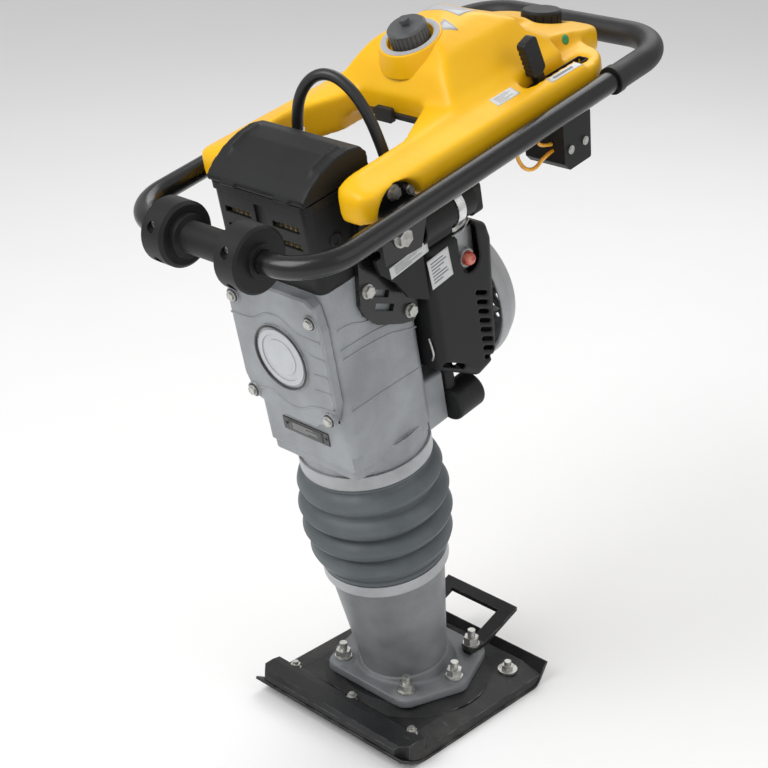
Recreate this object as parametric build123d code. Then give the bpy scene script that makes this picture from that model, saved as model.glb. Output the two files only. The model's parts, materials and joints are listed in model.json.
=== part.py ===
"""Vibratory rammer (jumping jack) of the 60 kg class, as an assembly of separate pieces.

World frame: +Z up, origin on the floor under the middle of the sole, -Y is the front (roller side),
+Y is the operator's side, X is across.  Everything above the shoe leans forward by LEAN, so it is
drawn in a leaning frame (u across, v towards the operator, w up along the leg) and then tilted.
"""
import os
from math import cos, pi, radians, sin, tan

from build123d import *

# ---- driving dimensions, millimetres and degrees -------------------------------------------
LEAN = 12.5            # forward lean of the leg
FOOT_RISE = 17.0       # height of the leaning frame's origin above the floor

SHOE_WIDTH = 280.0
SHOE_FRONT = -164.0
SHOE_REAR = 140.0
PLATE = 4.0            # sole plate thickness

LEG_FOOT_R = 61.0      # leg radius at the weld
LEG_TOP_R = 79.0       # leg radius under the bellows band
LEG_FOOT_W = 50.0
LEG_TOP_W = 214.0
SLIDE_R = 57.0         # slide tube, runs inside the guide tube
SLIDE_TOP_W = 398.0
BORE_R = 50.0
BELLOWS_LOW_W = 232.0
BELLOWS_HIGH_W = 391.0
BAND_R = 84.0
NECK_R = 87.0

CASE_HALF = 80.0       # half width of the gear case
CASE_FRONT = -88.0
CASE_REAR = 52.0
CASE_LOW_W = 440.0
CASE_TOP_W = 692.0
WALL = 9.0
COVER_FRONT = -104.0
COVER_LOW_W = 503.0
COVER_TOP_W = 689.0

GEAR_MODULE = 1.5
GEAR_TEETH = 82
PINION_TEETH = 13
CRANK_THROW = 22.0
ENGINE_W = 536.0       # height of the engine crankshaft
GEAR_W = ENGINE_W + GEAR_MODULE * (GEAR_TEETH + PINION_TEETH) / 2
ROD_LENGTH = 112.0
EYE_W = GEAR_W - CRANK_THROW - ROD_LENGTH
GEAR_FRONT = 18.0      # v of the gear's front face
GEAR_THICK = 16.0

FAN_FRONT = 178.0      # v where the fan cover starts
FAN_R = 103.0

HANDLE_HALF = 158.0    # handle tube centre line
HANDLE_FRONT = -163.0
HANDLE_REAR = 490.0
HANDLE_W = 780.0       # height at v = 0
HANDLE_SLOPE = 0.0135
TUBE_R = 13.5
TUBE_WALL = 2.6
SEAM_HALF = 0.4        # half the seam where the tube's ends meet
GRIP_R = 16.5
BEND_FRONT = 62.0
BEND_REAR = 66.0
GRIP_START = 363.0

ROLLER_R = 39.0
MOUNT_W = 740.0        # height of the rubber mounts
TANK_HALF = 142.0
TANK_LOW_W = 778.0
LEVER_PIVOT = (115.0, 300.0, 742.0)
SPINE_HALF = 12.0       # half width of the ridge from the hump to the fuel filler
OIL_CAP_PLACE = Pos(0, 188, 884) * Rot(14, 0, 0)
FUEL_CAP_PLACE = Pos(0, 428, 815) * Rot(-11, 0, 0)
LID_HINGE_V = -91.0
LID_HINGE_W = 808.0
CLEAR = 0.3            # air gap between pieces of different moving bodies

os.makedirs("parts", exist_ok=True)


# ---- helpers --------------------------------------------------------------------------------
def save(name, shape, leaning=True):
    """Write one piece; a leaning piece is tilted from the (u, v, w) frame into the world."""
    if leaning:
        shape = Pos(0, 0, FOOT_RISE) * Rot(LEAN, 0, 0) * shape
    export_step(shape, f"parts/{name}.step")


def join(*shapes):
    """Union of several shapes."""
    total = shapes[0]
    for shape in shapes[1:]:
        total = total + shape
    return total


def group(shapes):
    """Several separate solids that share one node."""
    return Compound(children=list(shapes))


def box(u0, u1, v0, v1, w0, w1):
    """A box between two corners."""
    return Pos((u0 + u1) / 2, (v0 + v1) / 2, (w0 + w1) / 2) * Box(u1 - u0, v1 - v0, w1 - w0)


def upright(radius, w0, w1, u=0.0, v=0.0):
    """A cylinder along w."""
    return Pos(u, v, (w0 + w1) / 2) * Cylinder(radius, w1 - w0)


def along_v(radius, v0, v1, u=0.0, w=0.0):
    """A cylinder along v."""
    return Pos(u, (v0 + v1) / 2, w) * Rot(90, 0, 0) * Cylinder(radius, v1 - v0)


def along_u(radius, u0, u1, v=0.0, w=0.0):
    """A cylinder along u."""
    return Pos((u0 + u1) / 2, v, w) * Rot(0, 90, 0) * Cylinder(radius, u1 - u0)


def ring_along_w(outer, inner, w0, w1):
    return upright(outer, w0, w1) - upright(inner, w0 - 1, w1 + 1)


def turned(points):
    """Revolve (radius, w) points about the leg axis."""
    outline = Polyline([(r, 0, w) for r, w in points], close=True)
    return revolve(make_face(outline), Axis.Z, 360)


def turned_about_v(points, w):
    """Revolve (radius, v) points about an axis along v at height w."""
    outline = Polyline([(r, v, w) for r, v in points], close=True)
    axis = Axis((0, 0, w), (0, 1, 0))
    return revolve(make_face(outline), axis, 360)


def side_slab(points, u0, u1):
    """Extrude a side view outline of (v, w) points from u0 to u1."""
    outline = Polyline([(u0, v, w) for v, w in points], close=True)
    return extrude(make_face(outline), amount=u1 - u0, dir=(1, 0, 0))


def front_slab(points, v0, v1):
    """Extrude a front view outline of (u, w) points from v0 to v1."""
    outline = Polyline([(u, v0, w) for u, w in points], close=True)
    return extrude(make_face(outline), amount=v1 - v0, dir=(0, 1, 0))


def plan_slab(points, w0, w1):
    """Extrude a plan outline of (u, v) points from w0 to w1."""
    outline = Polyline([(u, v, w0) for u, v in points], close=True)
    return extrude(make_face(outline), amount=w1 - w0, dir=(0, 0, 1))


def rounded_case(half, v0, v1, w0, w1, corner):
    """A box whose edges along w are rounded."""
    block = box(-half, half, v0, v1, w0, w1)
    return fillet(block.edges().filter_by(Axis.Z), corner)


def hex_bolt(centre, toward, across=13.0, head=8.0, flange_r=9.0):
    """Flanged hex bolt head with its washer face at centre, pointing along toward."""
    frame = Plane(origin=centre, z_dir=toward)
    hexagon = extrude(frame * RegularPolygon(across / 2, 6, major_radius=False), head)
    washer = extrude(frame * Circle(flange_r), 2.0)
    return hexagon + washer


def stud_with_nut(centre, toward, washer_r=12.0, across=19.0, nut=13.0, stud_r=5.5, stud=24.0):
    """Washer, nut and the end of a stud."""
    frame = Plane(origin=centre, z_dir=toward)
    washer = extrude(frame * Circle(washer_r), 3.0)
    body = extrude(frame * RegularPolygon(across / 2, 6, major_radius=False), nut)
    return join(washer, body, extrude(frame * Circle(stud_r), stud))


# ---- foot -----------------------------------------------------------------------------------
FLANGE_BOLTS = [(-60, -70), (60, -70), (84, 2), (54, 72), (-54, 72), (-84, 2)]
FRONT_BOLTS_X = (-112, 0, 112)
FRONT_BOLTS_Y = -114
SEAT_Z = 27.0          # spot faces for the front bolts
SEAT_R = 9.5
FLANGE_LOW_Z = 33.0
FLANGE_TOP_Z = 46.0
LOOP_HALF = 54.0


def sole_plate():
    """Steel plate, turned up at the front and the back."""
    half = PLATE / 2
    path = FilletPolyline(
        (0, SHOE_FRONT, 21 + half),
        (0, SHOE_FRONT + 36, half),
        (0, SHOE_REAR - 22, half),
        (0, SHOE_REAR - 2, 34),
        radius=(70, 16),
    )
    start = Plane(origin=path @ 0, x_dir=(1, 0, 0), z_dir=path % 0)
    plate = sweep(start * Rectangle(SHOE_WIDTH, PLATE), path=path)
    return plate


def shoe_body():
    """Saddle between the sole plate and the leg flange, with a bar across its front."""
    half = SHOE_WIDTH / 2 - 1
    base = side_slab(
        [(-108, 4.3), (104, 4.3), (110, 4.6), (116, 6.8), (120, 11), (126, 21.5), (126, 25), (110, 24),
         (-104, 24), (-120, 37), (-132, 39), (-156, 38), (-162, 33), (-162, 25.5), (-144, 14.8), (-135, 10),
         (-127, 7.2), (-120, 5.6), (-114, 4.8)],
        -half, half,
    )
    slope = front_slab([(half, 18), (half + 1, 18), (half + 1, 60), (half - 34, 60), (half - 34, 25)],
        -118, 160)
    base = base - slope - mirror(slope, Plane.YZ)
    saddle = Pos(0, 0, 28.4) * Cone(118, 98, FLANGE_LOW_Z - 24)
    corners = plan_slab(
        [(half - 26, SHOE_FRONT - 9), (half + 9, SHOE_FRONT + 26), (half + 9, SHOE_FRONT - 9)], 0, 60)
    back = plan_slab([(half - 22, SHOE_REAR + 9), (half + 9, SHOE_REAR - 22), (half + 9, SHOE_REAR + 9)],
        0, 60)
    cut = join(corners, mirror(corners, Plane.YZ), back, mirror(back, Plane.YZ))
    body = (base + saddle) - cut
    for x in FRONT_BOLTS_X:
        body = body - upright(SEAT_R, SEAT_Z, 60, x, FRONT_BOLTS_Y)
    return body


def shoe_bolts():
    bolts = [stud_with_nut((x, FRONT_BOLTS_Y, SEAT_Z), (0, 0, 1), 8, 13, 8, 4, 12) for x in FRONT_BOLTS_X]
    bolts += [stud_with_nut((x, 94, 24.0), (0, 0, 1), 14, 15, 9, 5, 15) for x in (-104, 104)]
    return group(bolts)


def foot_flange():
    """Oval casting that carries the leg, with a boss round each stud."""
    lobes = [Pos(x, y, 0) * Circle(20) for x, y in FLANGE_BOLTS]
    outline = make_hull(Sketch(children=lobes).edges())
    plate = Pos(0, 0, FLANGE_LOW_Z) * extrude(outline, FLANGE_TOP_Z - FLANGE_LOW_Z)
    hub = Pos(0, 0, FOOT_RISE) * Rot(LEAN, 0, 0) * (Pos(0, 0, (18 + LEG_FOOT_W) / 2) * Cone(71, 64,
        LEG_FOOT_W - 18))
    hub = hub - box(-150, 150, -150, 150, 0, FLANGE_LOW_Z)
    bosses = [upright(16, FLANGE_LOW_Z, FLANGE_TOP_Z + 3, x, y) for x, y in FLANGE_BOLTS]
    return join(plate, hub, *bosses)


def flange_nuts():
    nuts = []
    for x, y in FLANGE_BOLTS:
        on_loop = 6.0 if abs(x) == LOOP_HALF else 0.0
        nuts.append(stud_with_nut((x, y, FLANGE_TOP_Z + 3 + on_loop), (0, 0, 1)))
    return group(nuts)


def lifting_loop():
    """Flat bar bent to a loop behind the leg, held under the two rear nuts."""
    low = FLANGE_TOP_Z + 3
    bar = side_slab([(56, low), (90, low), (158, low + 28), (158, low + 34), (88, low + 6),
        (56, low + 6)], -66, 66)
    window = box(-44, 44, 40, 142, 0, 200)
    clearance = Pos(0, 0, FOOT_RISE) * Rot(LEAN, 0, 0) * upright(LEG_TOP_R + 3, 0, 300)
    return bar - window - clearance


def leg_tube():
    """Tapered spring cylinder with the slide tube that enters the guide tube."""
    return turned([
        (0, LEG_FOOT_W), (LEG_FOOT_R, LEG_FOOT_W), (LEG_TOP_R, LEG_TOP_W - 2), (BAND_R - 1, LEG_TOP_W),
        (BAND_R - 1, BELLOWS_LOW_W - 0.5), (SLIDE_R, BELLOWS_LOW_W - 0.5), (SLIDE_R, SLIDE_TOP_W),
        (24, SLIDE_TOP_W), (24, SLIDE_TOP_W - 16), (BORE_R, SLIDE_TOP_W - 16), (BORE_R, LEG_FOOT_W + 14),
        (0, LEG_FOOT_W + 14),
    ])


def lower_bellows_band():
    return ring_along_w(BAND_R + 1.5, BAND_R - 1, LEG_TOP_W + 1, BELLOWS_LOW_W - 1)


PISTON_W = 205.0
PISTON_THICK = 18.0


def plunger():
    """Fork for the connecting rod, rod and spring piston in one forging."""
    fork_low = EYE_W - 68
    fork_top = EYE_W + 44
    cheek = box(-17, 17, 9.0, 16.0, fork_low, fork_top)
    bridge = upright(20, fork_low - 22, fork_low)
    rod = upright(14, PISTON_W, fork_low - 10)
    piston = upright(BORE_R - CLEAR, PISTON_W, PISTON_W + PISTON_THICK)
    bore = along_v(9.5, -30, 30, 0, EYE_W)
    return join(cheek, mirror(cheek, Plane.XZ), bridge, rod, piston) - bore


def spring_pack(w0, w1, radius, wire, turns):
    """Coil spring with its ends inside w0 to w1."""
    pitch = (w1 - w0 - 2 * wire) / turns
    path = Pos(0, 0, w0 + wire) * Helix(pitch=pitch, height=pitch * turns, radius=radius)
    start = Plane(origin=path @ 0, z_dir=path % 0)
    return sweep(start * Circle(wire), path=path, is_frenet=True)


def build_foot():
    save("sole_plate", sole_plate(), leaning=False)
    save("shoe_body", shoe_body(), leaning=False)
    save("shoe_bolts", shoe_bolts(), leaning=False)
    save("foot_flange", foot_flange(), leaning=False)
    save("flange_nuts", flange_nuts(), leaning=False)
    save("lifting_loop", lifting_loop(), leaning=False)
    save("leg_tube", leg_tube())
    save("lower_bellows_band", lower_bellows_band())
    save("plunger", plunger())
    save("lower_spring", spring_pack(LEG_FOOT_W + 15, PISTON_W - 1, 36, 5, 6))
    save("upper_spring", spring_pack(PISTON_W + PISTON_THICK + 1, SLIDE_TOP_W - 20, 38, 5, 6))


# ---- bellows, guide and gear case -----------------------------------------------------------
def bellows():
    """Rubber bellows with four convolutions and a cuff at each end."""
    swell = [96.0, 101.0, 101.0, 96.0]
    low = BELLOWS_LOW_W
    cuff = 9.0
    pitch = (BELLOWS_HIGH_W - BELLOWS_LOW_W - 2 * cuff) / len(swell)
    outer = [(BAND_R, low), (BAND_R, low + cuff)]
    for index, radius in enumerate(swell):
        base = low + cuff + index * pitch
        for step in range(1, 8):
            part = step / 8
            outer.append((BAND_R + (radius - BAND_R) * sin(pi * part) ** 0.7, base + pitch * part))
        outer.append((BAND_R, base + pitch))
    outer.append((BAND_R, BELLOWS_HIGH_W))
    inner = [(r - 5, w) for r, w in outer]
    return turned(outer + inner[::-1])


def guide_tube():
    """Guide tube pressed into the foot of the gear case."""
    return ring_along_w(SLIDE_R + 7, SLIDE_R + CLEAR, 292, CASE_LOW_W + 6)


def neck_ring():
    return ring_along_w(NECK_R, SLIDE_R + 7, BELLOWS_HIGH_W + 0.5, 411)


def case_shell():
    outer = rounded_case(CASE_HALF, CASE_FRONT, CASE_REAR, CASE_LOW_W, CASE_TOP_W, 12)
    lower = rounded_case(CASE_HALF - 4, CASE_FRONT + 2, CASE_REAR, CASE_LOW_W - 14, CASE_LOW_W + 30, 12)
    throat = upright(NECK_R - 3, 411.5, CASE_LOW_W + 4)
    heel = box(-CASE_HALF + 5, CASE_HALF - 5, CASE_REAR - 4, 82, 418, 494)
    bell = along_v(56, CASE_REAR - 4, 98, 0, ENGINE_W)
    return join(outer, lower, throat, fillet(heel.edges().filter_by(Axis.Y), 6), bell)


def gearcase():
    """Cast case for the crank gear, open at the front and at the clutch bell."""
    cavity = rounded_case(CASE_HALF - WALL, CASE_FRONT - 1, CASE_REAR - 12, COVER_LOW_W + 8,
        CASE_TOP_W - WALL, 8)
    sump = rounded_case(CASE_HALF - WALL - 4, CASE_FRONT + WALL, CASE_REAR - 12, CASE_LOW_W + 8,
        COVER_LOW_W + 9, 8)
    throat = upright(SLIDE_R + 7, 405, CASE_LOW_W + 20)
    clutch_room = along_v(49, CASE_REAR + 8, 99, 0, ENGINE_W)
    pinion_room = along_v(15.5, 30, CASE_REAR + 10, 0, ENGINE_W)
    gear_bearing_room = along_v(21, 30, CASE_REAR - 2, 0, GEAR_W)
    case = case_shell() - cavity - sump - throat - clutch_room - pinion_room - gear_bearing_room
    for side in (-1, 1):
        case = case - upright(16, CASE_LOW_W - 30, CASE_LOW_W + 20, side * (CASE_HALF + 9), CASE_FRONT + 4)
    return case


def cover_outline():
    half = CASE_HALF - 1
    return [
        (-half + 5, COVER_TOP_W - 8), (-half + 17, COVER_TOP_W), (half - 17, COVER_TOP_W),
        (half - 5, COVER_TOP_W - 8), (half, COVER_TOP_W - 40), (half, COVER_LOW_W + 44),
        (half - 12, COVER_LOW_W + 12), (half - 34, COVER_LOW_W + 6), (half - 40, COVER_LOW_W),
        (-half + 40, COVER_LOW_W), (-half + 34, COVER_LOW_W + 6), (-half + 12, COVER_LOW_W + 12),
        (-half, COVER_LOW_W + 44), (-half, COVER_TOP_W - 40),
    ]


BADGE_W = 593.0
BADGE_R = 42.0
COVER_SCREWS = [(-66, 525), (66, 525), (-66, 661), (66, 661)]


def front_cover():
    """Cast cover with a recess for the badge and a boss round each screw."""
    plate = front_slab(cover_outline(), COVER_FRONT + 2, CASE_FRONT)
    plate = fillet(plate.edges().filter_by(Axis.Y), 5)
    plate = chamfer(plate.faces().sort_by(Axis.Y)[0].edges(), 2.5)
    bosses = [along_v(10, COVER_FRONT, COVER_FRONT + 6, u, w) for u, w in COVER_SCREWS]
    rim = along_v(BADGE_R + 3, COVER_FRONT, COVER_FRONT + 6, 0, BADGE_W)
    recess = along_v(BADGE_R, COVER_FRONT - 1, COVER_FRONT + 5, 0, BADGE_W)
    return join(plate, rim, *bosses) - recess


def cover_screws():
    return group([hex_bolt((u, COVER_FRONT, w), (0, -1, 0), 10, 5, 7) for u, w in COVER_SCREWS])


def front_badge():
    """Plain round badge with two rings and a blank lens-shaped centre."""
    base = along_v(BADGE_R - 0.5, COVER_FRONT + 2, COVER_FRONT + 5, 0, BADGE_W)
    ring = along_v(BADGE_R - 4, COVER_FRONT + 0.5, COVER_FRONT + 3, 0, BADGE_W)
    ring = ring - along_v(BADGE_R - 10, COVER_FRONT - 1, COVER_FRONT + 6, 0, BADGE_W)
    centre = along_v(BADGE_R - 18, COVER_FRONT + 1, COVER_FRONT + 3, 0, BADGE_W)
    return join(base, ring, centre)


def nameplate():
    """Blank data plate riveted to the lower front."""
    plate = box(-40, 40, CASE_FRONT - 1.6, CASE_FRONT, 468, 486)
    rivets = [along_v(2.2, CASE_FRONT - 2.6, CASE_FRONT - 1, u, 477) for u in (-35, 35)]
    return join(plate, *rivets)


BRACKET_BOLTS = [(-27, 670), (35, 611)]


def side_bracket():
    """Steel plate from the gear case up to the rubber mount, with two windows."""
    plate = side_slab(
        [(-41, 656), (-36, 690), (-26, MOUNT_W + 20), (26, MOUNT_W + 20), (42, 700), (50, 640), (50, 604),
         (40, 594), (20, 600), (-20, 620), (-35, 638)],
        CASE_HALF + CLEAR, CASE_HALF + 7)
    plate = fillet(plate.edges().filter_by(Axis.X), 6)
    for back, low, half in ((-6, 656, 14), (-4, 636, 16)):
        plate = plate - Pos(CASE_HALF, back, low) * Rot(-28, 0, 0) * box(-5, 12, -half, half, -4.5, 4.5)
    return plate


def build_case():
    save("bellows", bellows())
    save("guide_tube", guide_tube())
    save("neck_ring", neck_ring())
    save("gearcase", gearcase())
    save("front_cover", front_cover())
    save("cover_screws", cover_screws())
    save("front_badge", front_badge())
    save("nameplate", nameplate())
    right = side_bracket()
    save("side_brackets", group([right, mirror(right, Plane.YZ)]))


# ---- crank drive ----------------------------------------------------------------------------
def toothed_disc(teeth, v0, v1, w, turn=0.0):
    """Spur gear along v with straight-flanked teeth, turned by a number of degrees."""
    module = GEAR_MODULE
    root = module * teeth / 2 - 1.2 * module
    tip = module * teeth / 2 + 0.9 * module
    points = []
    step = 2 * pi / teeth
    for index in range(teeth):
        angle = radians(turn) + index * step
        for radius, share in ((root, -0.30), (tip, -0.12), (tip, 0.12), (root, 0.30)):
            points.append((radius * sin(angle + share * step), w + radius * cos(angle + share * step)))
    return front_slab(points, v0, v1)


def crank_gear():
    """Large gear with its shaft, lightened by six holes."""
    gear = toothed_disc(GEAR_TEETH, GEAR_FRONT, GEAR_FRONT + GEAR_THICK, GEAR_W)
    shaft = along_v(10, GEAR_FRONT, CASE_REAR - 3, 0, GEAR_W)
    hub = along_v(18, GEAR_FRONT - 2, GEAR_FRONT, 0, GEAR_W)
    body = join(gear, shaft, hub)
    for index in range(1, 6):
        angle = index * pi / 3 + pi
        u, w = 40 * sin(angle), GEAR_W + 40 * cos(angle)
        body = body - along_v(11, GEAR_FRONT - 3, GEAR_FRONT + GEAR_THICK + 3, u, w)
    return body


def crank_pin():
    pin_w = GEAR_W - CRANK_THROW
    return along_v(9, -10, GEAR_FRONT - 2.2, 0, pin_w) + along_v(13, -14, -10, 0, pin_w)


def connecting_rod():
    """Flat rod with an eye at each end; the lower eye hangs free between the fork's cheeks."""
    pin_w = GEAR_W - CRANK_THROW
    top = along_v(17, -8, 8, 0, pin_w) - along_v(9 + CLEAR, -20, 20, 0, pin_w)
    low = along_v(14, -7, 7, 0, EYE_W)
    shank = box(-8, 8, -5, 5, EYE_W + 10, pin_w - 14)
    return join(top, low, shank) - along_v(7, -20, 20, 0, EYE_W)


def ball_bearing(outer, bore, v0, v1, w):
    """Sealed ball bearing: two races with the shields set back between them."""
    race = (outer - bore) * 0.3
    profile = [(bore, v0), (bore + race, v0), (bore + race, v0 + 1), (outer - race, v0 + 1),
        (outer - race, v0),
               (outer, v0), (outer, v1), (outer - race, v1), (outer - race, v1 - 1), (bore + race, v1 - 1),
               (bore + race, v1), (bore, v1)]
    return turned_about_v(profile, w)


def gear_bearings():
    big = ball_bearing(21, 10 + CLEAR, CASE_REAR - 15, CASE_REAR - 2.2, GEAR_W)
    small = ball_bearing(15.5, 8 + CLEAR, CASE_REAR - 5, CASE_REAR + 6, ENGINE_W)
    return group([big, small])


def clutch_drum():
    """Pinion, its shaft and the bell of the centrifugal clutch."""
    pinion = toothed_disc(PINION_TEETH, GEAR_FRONT + 1, GEAR_FRONT + GEAR_THICK - 1, ENGINE_W,
        180 / PINION_TEETH)
    shaft = along_v(8, GEAR_FRONT + 1, CASE_REAR + 10, 0, ENGINE_W)
    floor = along_v(44, CASE_REAR + 9, CASE_REAR + 13, 0, ENGINE_W)
    wall = along_v(44, CASE_REAR + 9, 92, 0, ENGINE_W) - along_v(40, CASE_REAR + 12, 93, 0, ENGINE_W)
    return join(pinion, shaft, floor, wall)


def clutch_shoes():
    """Two bobweight shoes drawn in by a spring ring."""
    shoe_ring = along_v(38.5, 68, 88, 0, ENGINE_W) - along_v(17, 67, 89, 0, ENGINE_W)
    slot = box(-3, 3, 60, 99, ENGINE_W - 60, ENGINE_W + 60)
    halves = (shoe_ring - slot).solids()
    springs = along_v(22, 88, 90.5, 0, ENGINE_W) - along_v(18.5, 87, 92, 0, ENGINE_W)
    return group(list(halves) + [springs])


def engine_crankshaft():
    return join(along_v(9, 66, 205, 0, ENGINE_W), box(-16, 16, 68, 88, ENGINE_W - 7, ENGINE_W + 7)
                & along_v(16.5, 60, 99, 0, ENGINE_W))


def flywheel_fan():
    """Flywheel with curved cooling blades."""
    disc = along_v(74, FAN_FRONT + 4, FAN_FRONT + 12, 0, ENGINE_W) - along_v(9.1, 150, 220, 0, ENGINE_W)
    blade = box(-1.5, 1.5, FAN_FRONT + 11, FAN_FRONT + 24, ENGINE_W + 34, ENGINE_W + 78)
    wheel = disc
    for index in range(14):
        spoke = Pos(0, 0, ENGINE_W) * Rot(0, index * 360 / 14, 0) * Pos(0, 0, -ENGINE_W) * blade
        wheel = wheel + spoke
    return wheel


def recoil_pulley():
    """Grooved rope pulley that idles behind the flywheel."""
    profile = [(5, 207), (40, 207), (40, 209), (33, 211), (33, 214), (40, 216), (40, 218), (5, 218)]
    return turned_about_v(profile, ENGINE_W)


def build_drive():
    save("crank_gear", crank_gear())
    save("crank_pin", crank_pin())
    save("connecting_rod", connecting_rod())
    save("gear_bearings", gear_bearings())
    save("clutch_drum", clutch_drum())
    save("clutch_shoes", clutch_shoes())
    save("engine_crankshaft", engine_crankshaft())
    save("flywheel_fan", flywheel_fan())
    save("recoil_pulley", recoil_pulley())


# ---- engine ---------------------------------------------------------------------------------
CYLINDER_V = 132.0
COVER_V = 57.0
GRIP_PLACE = (-58.0, 252.0, 594.0)   # centre of the starter grip


def engine_block():
    """Engine crankcase between the clutch bell and the fan."""
    flange = along_v(58, 98.5, 106, 0, ENGINE_W)
    block = along_v(46, 98.5, FAN_FRONT - 4, 0, ENGINE_W)
    foot = box(-40, 40, 110, 160, ENGINE_W - 58, ENGINE_W - 30)
    neck = upright(34, ENGINE_W + 20, 597, 0, CYLINDER_V)
    return join(flange, block, foot, neck) - along_v(9 + CLEAR, 90, 190, 0, ENGINE_W)


def cylinder():
    """Air cooled cylinder and head in one finned casting."""
    core = upright(30, 597.2, 700, 0, CYLINDER_V)
    fins = [fillet(box(-56, 56, CYLINDER_V - 42, CYLINDER_V + 42, w, w + 3).edges().filter_by(Axis.Z), 14)
            for w in range(601, 700, 9)]
    return join(core, *fins)


def spark_plug():
    return join(upright(6, 700.3, 712, 0, CYLINDER_V), upright(11, 706, 713, 0, CYLINDER_V),
                upright(5, 712, 728, 0, CYLINDER_V), upright(9, 722, 742, 0, CYLINDER_V))


def carburettor():
    """Body, float bowl and flange beside the cylinder."""
    body = box(60, 92, 112, 152, 634, 672)
    bowl = upright(15, 618, 636, 77, 134)
    flange = box(56.5, 62, 106, 150, 626, 670)
    pillar = along_u(12, 90, 99, 132, 637) - along_u(9.4, 94, 100, 132, 637)
    return join(body, bowl, flange, pillar)


def primer_bulb():
    """Clear rubber dome that slides into its seat when it is pressed."""
    dome = Pos(101, 132, 637) * Sphere(9)
    dome = dome & box(101, 120, 100, 160, 600, 670)
    return dome + along_u(9.3, 98.3, 101.4, 132, 637)


def intake_duct():
    """Air duct from the filter to the carburettor, along the near side."""
    duct = along_v(25, 58.3, 148, 88, 712) - along_v(22, 57, 146, 88, 712)
    elbow = Pos(88, 148, 700) * box(-18, 18, 0, 16, -13, 30)
    neck = upright(11, 672.3, 691, 80, 140)
    boss = upright(8.5, 724, 736, HOSE_POINTS[-1][0], HOSE_POINTS[-1][1])
    panel = side_slab([(-22, 711), (-16, 690), (6, 668), (22, 640), (54.5, 620), (54.5, 686.3), (108, 686.3),
                       (108, 712), (62, 732), (40, 711)], 99, 104)
    panel = fillet(panel.edges().filter_by(Axis.X), 2.5)
    tie = box(86, 101, 59, 70, 690, 728) - along_v(22, 57, 146, 88, 712)
    return join(duct, fillet(elbow.edges().filter_by(Axis.Y), 8), neck, boss, panel, tie)


def clamp_bands():
    """Bright bands on the duct and on the breather hose."""
    band = along_v(27.2, 113, 126, 88, 712) - along_v(25.25, 100, 150, 88, 712)
    screw = Pos(88, 119.5, 743) * Rot(90, 0, 0) * Cylinder(3.5, 18)
    lug = box(84, 92, 114, 125, 738.4, 741)
    clip = upright(9.6, 812, 819, -57.2, 35.8) - upright(8.1, 810, 830, -57.2, 35.8)
    return group([join(band, lug, screw), clip])


def engine_cover():
    """Black shroud on the near side with a row of slanted vents."""
    outline = [(64, 682), (COVER_V, 640), (COVER_V, 514), (122, 470), (148, 476), (161, 492), (177, 646),
               (172, 667), (150, 680)]
    skin = side_slab(outline, 60, 105)
    skin = fillet(skin.edges().group_by(Axis.X)[-1], 12)
    room = side_slab([(v * 0.92 + 9.5, w * 0.96 + 23.5) for v, w in outline], 40, 101)
    cover = skin - room - box(50, 76, 40, 84.5, 400, 496)
    for index in range(8):
        vent = Pos(96, 143, 489 + index * 13.5) * Rot(-28, 0, 0) * box(-2, 20, -11, 11, -2.4, 2.4)
        cover = cover - vent
    cover = cover - along_u(17, 90, 120, 132, 637) - box(88, 120, 115, 149, 637, 700)
    cover = cover - Pos(96, 80, 511) * Rot(-32, 0, 0) * box(-4, 20, -20, 20, -3, 3)
    return cover - upright(12.5, 440, 540, 70, 96) - upright(13, 660, 700, 80, 140)


def fan_cover():
    """Cast dome over the fan, with a ring of air slots and a boss for the recoil starter."""
    outer = [(FAN_R, FAN_FRONT), (FAN_R, FAN_FRONT + 16), (FAN_R - 9, FAN_FRONT + 36), (78, FAN_FRONT + 49),
             (52, FAN_FRONT + 55), (0.0, FAN_FRONT + 57)]
    inner = [(0.0, FAN_FRONT + 53), (50, FAN_FRONT + 51), (75, FAN_FRONT + 45), (FAN_R - 13, FAN_FRONT + 33),
             (FAN_R - 5, FAN_FRONT + 15), (FAN_R - 5, FAN_FRONT)]
    dome = turned_about_v(outer + inner, ENGINE_W)
    for index in range(16):
        slot = box(-3, 3, FAN_FRONT + 40, FAN_FRONT + 60, ENGINE_W + 48, ENGINE_W + 70)
        dome = dome - Pos(0, 0, ENGINE_W) * Rot(0, index * 22.5, 0) * Pos(0, 0, -ENGINE_W) * slot
    stub = along_v(4.5, FAN_FRONT + 30, FAN_FRONT + 54, 0, ENGINE_W)
    port = along_v(12, FAN_FRONT + 38, FAN_FRONT + 56, GRIP_PLACE[0], GRIP_PLACE[2])
    bore = along_v(4, FAN_FRONT + 20, FAN_FRONT + 60, GRIP_PLACE[0], GRIP_PLACE[2])
    return join(dome, stub, port) - bore


def starter_grip():
    """T-shaped pull grip on its rope, drawn out towards the operator."""
    u, v, w = GRIP_PLACE
    bar = Pos(u, v + 4, w) * Rot(0, 25, 0) * Cylinder(8.5, 64)
    bar = fillet(bar.edges(), 3)
    neck = along_v(7, v - 14, v + 2, u, w)
    rope = along_v(2.5, v - 34, v - 13, u, w)
    return join(bar, neck, rope)


def muffler():
    """Exhaust canister low on the near side and its pipe from the cylinder."""
    can = along_v(24, 86, 134, 74, 438)
    can = fillet(can.edges(), 5)
    pipe = upright(9, 450, 610, 70, 96)
    return join(can, pipe, along_u(9, 56.4, 70, 96, 608))


def build_engine():
    save("engine_block", engine_block())
    save("cylinder", cylinder())
    save("spark_plug", spark_plug())
    save("carburettor", carburettor())
    save("primer_bulb", primer_bulb())
    save("intake_duct", intake_duct())
    save("clamp_bands", clamp_bands())
    save("engine_cover", engine_cover())
    save("fan_cover", fan_cover())
    save("starter_grip", starter_grip())
    save("muffler", muffler())


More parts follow.
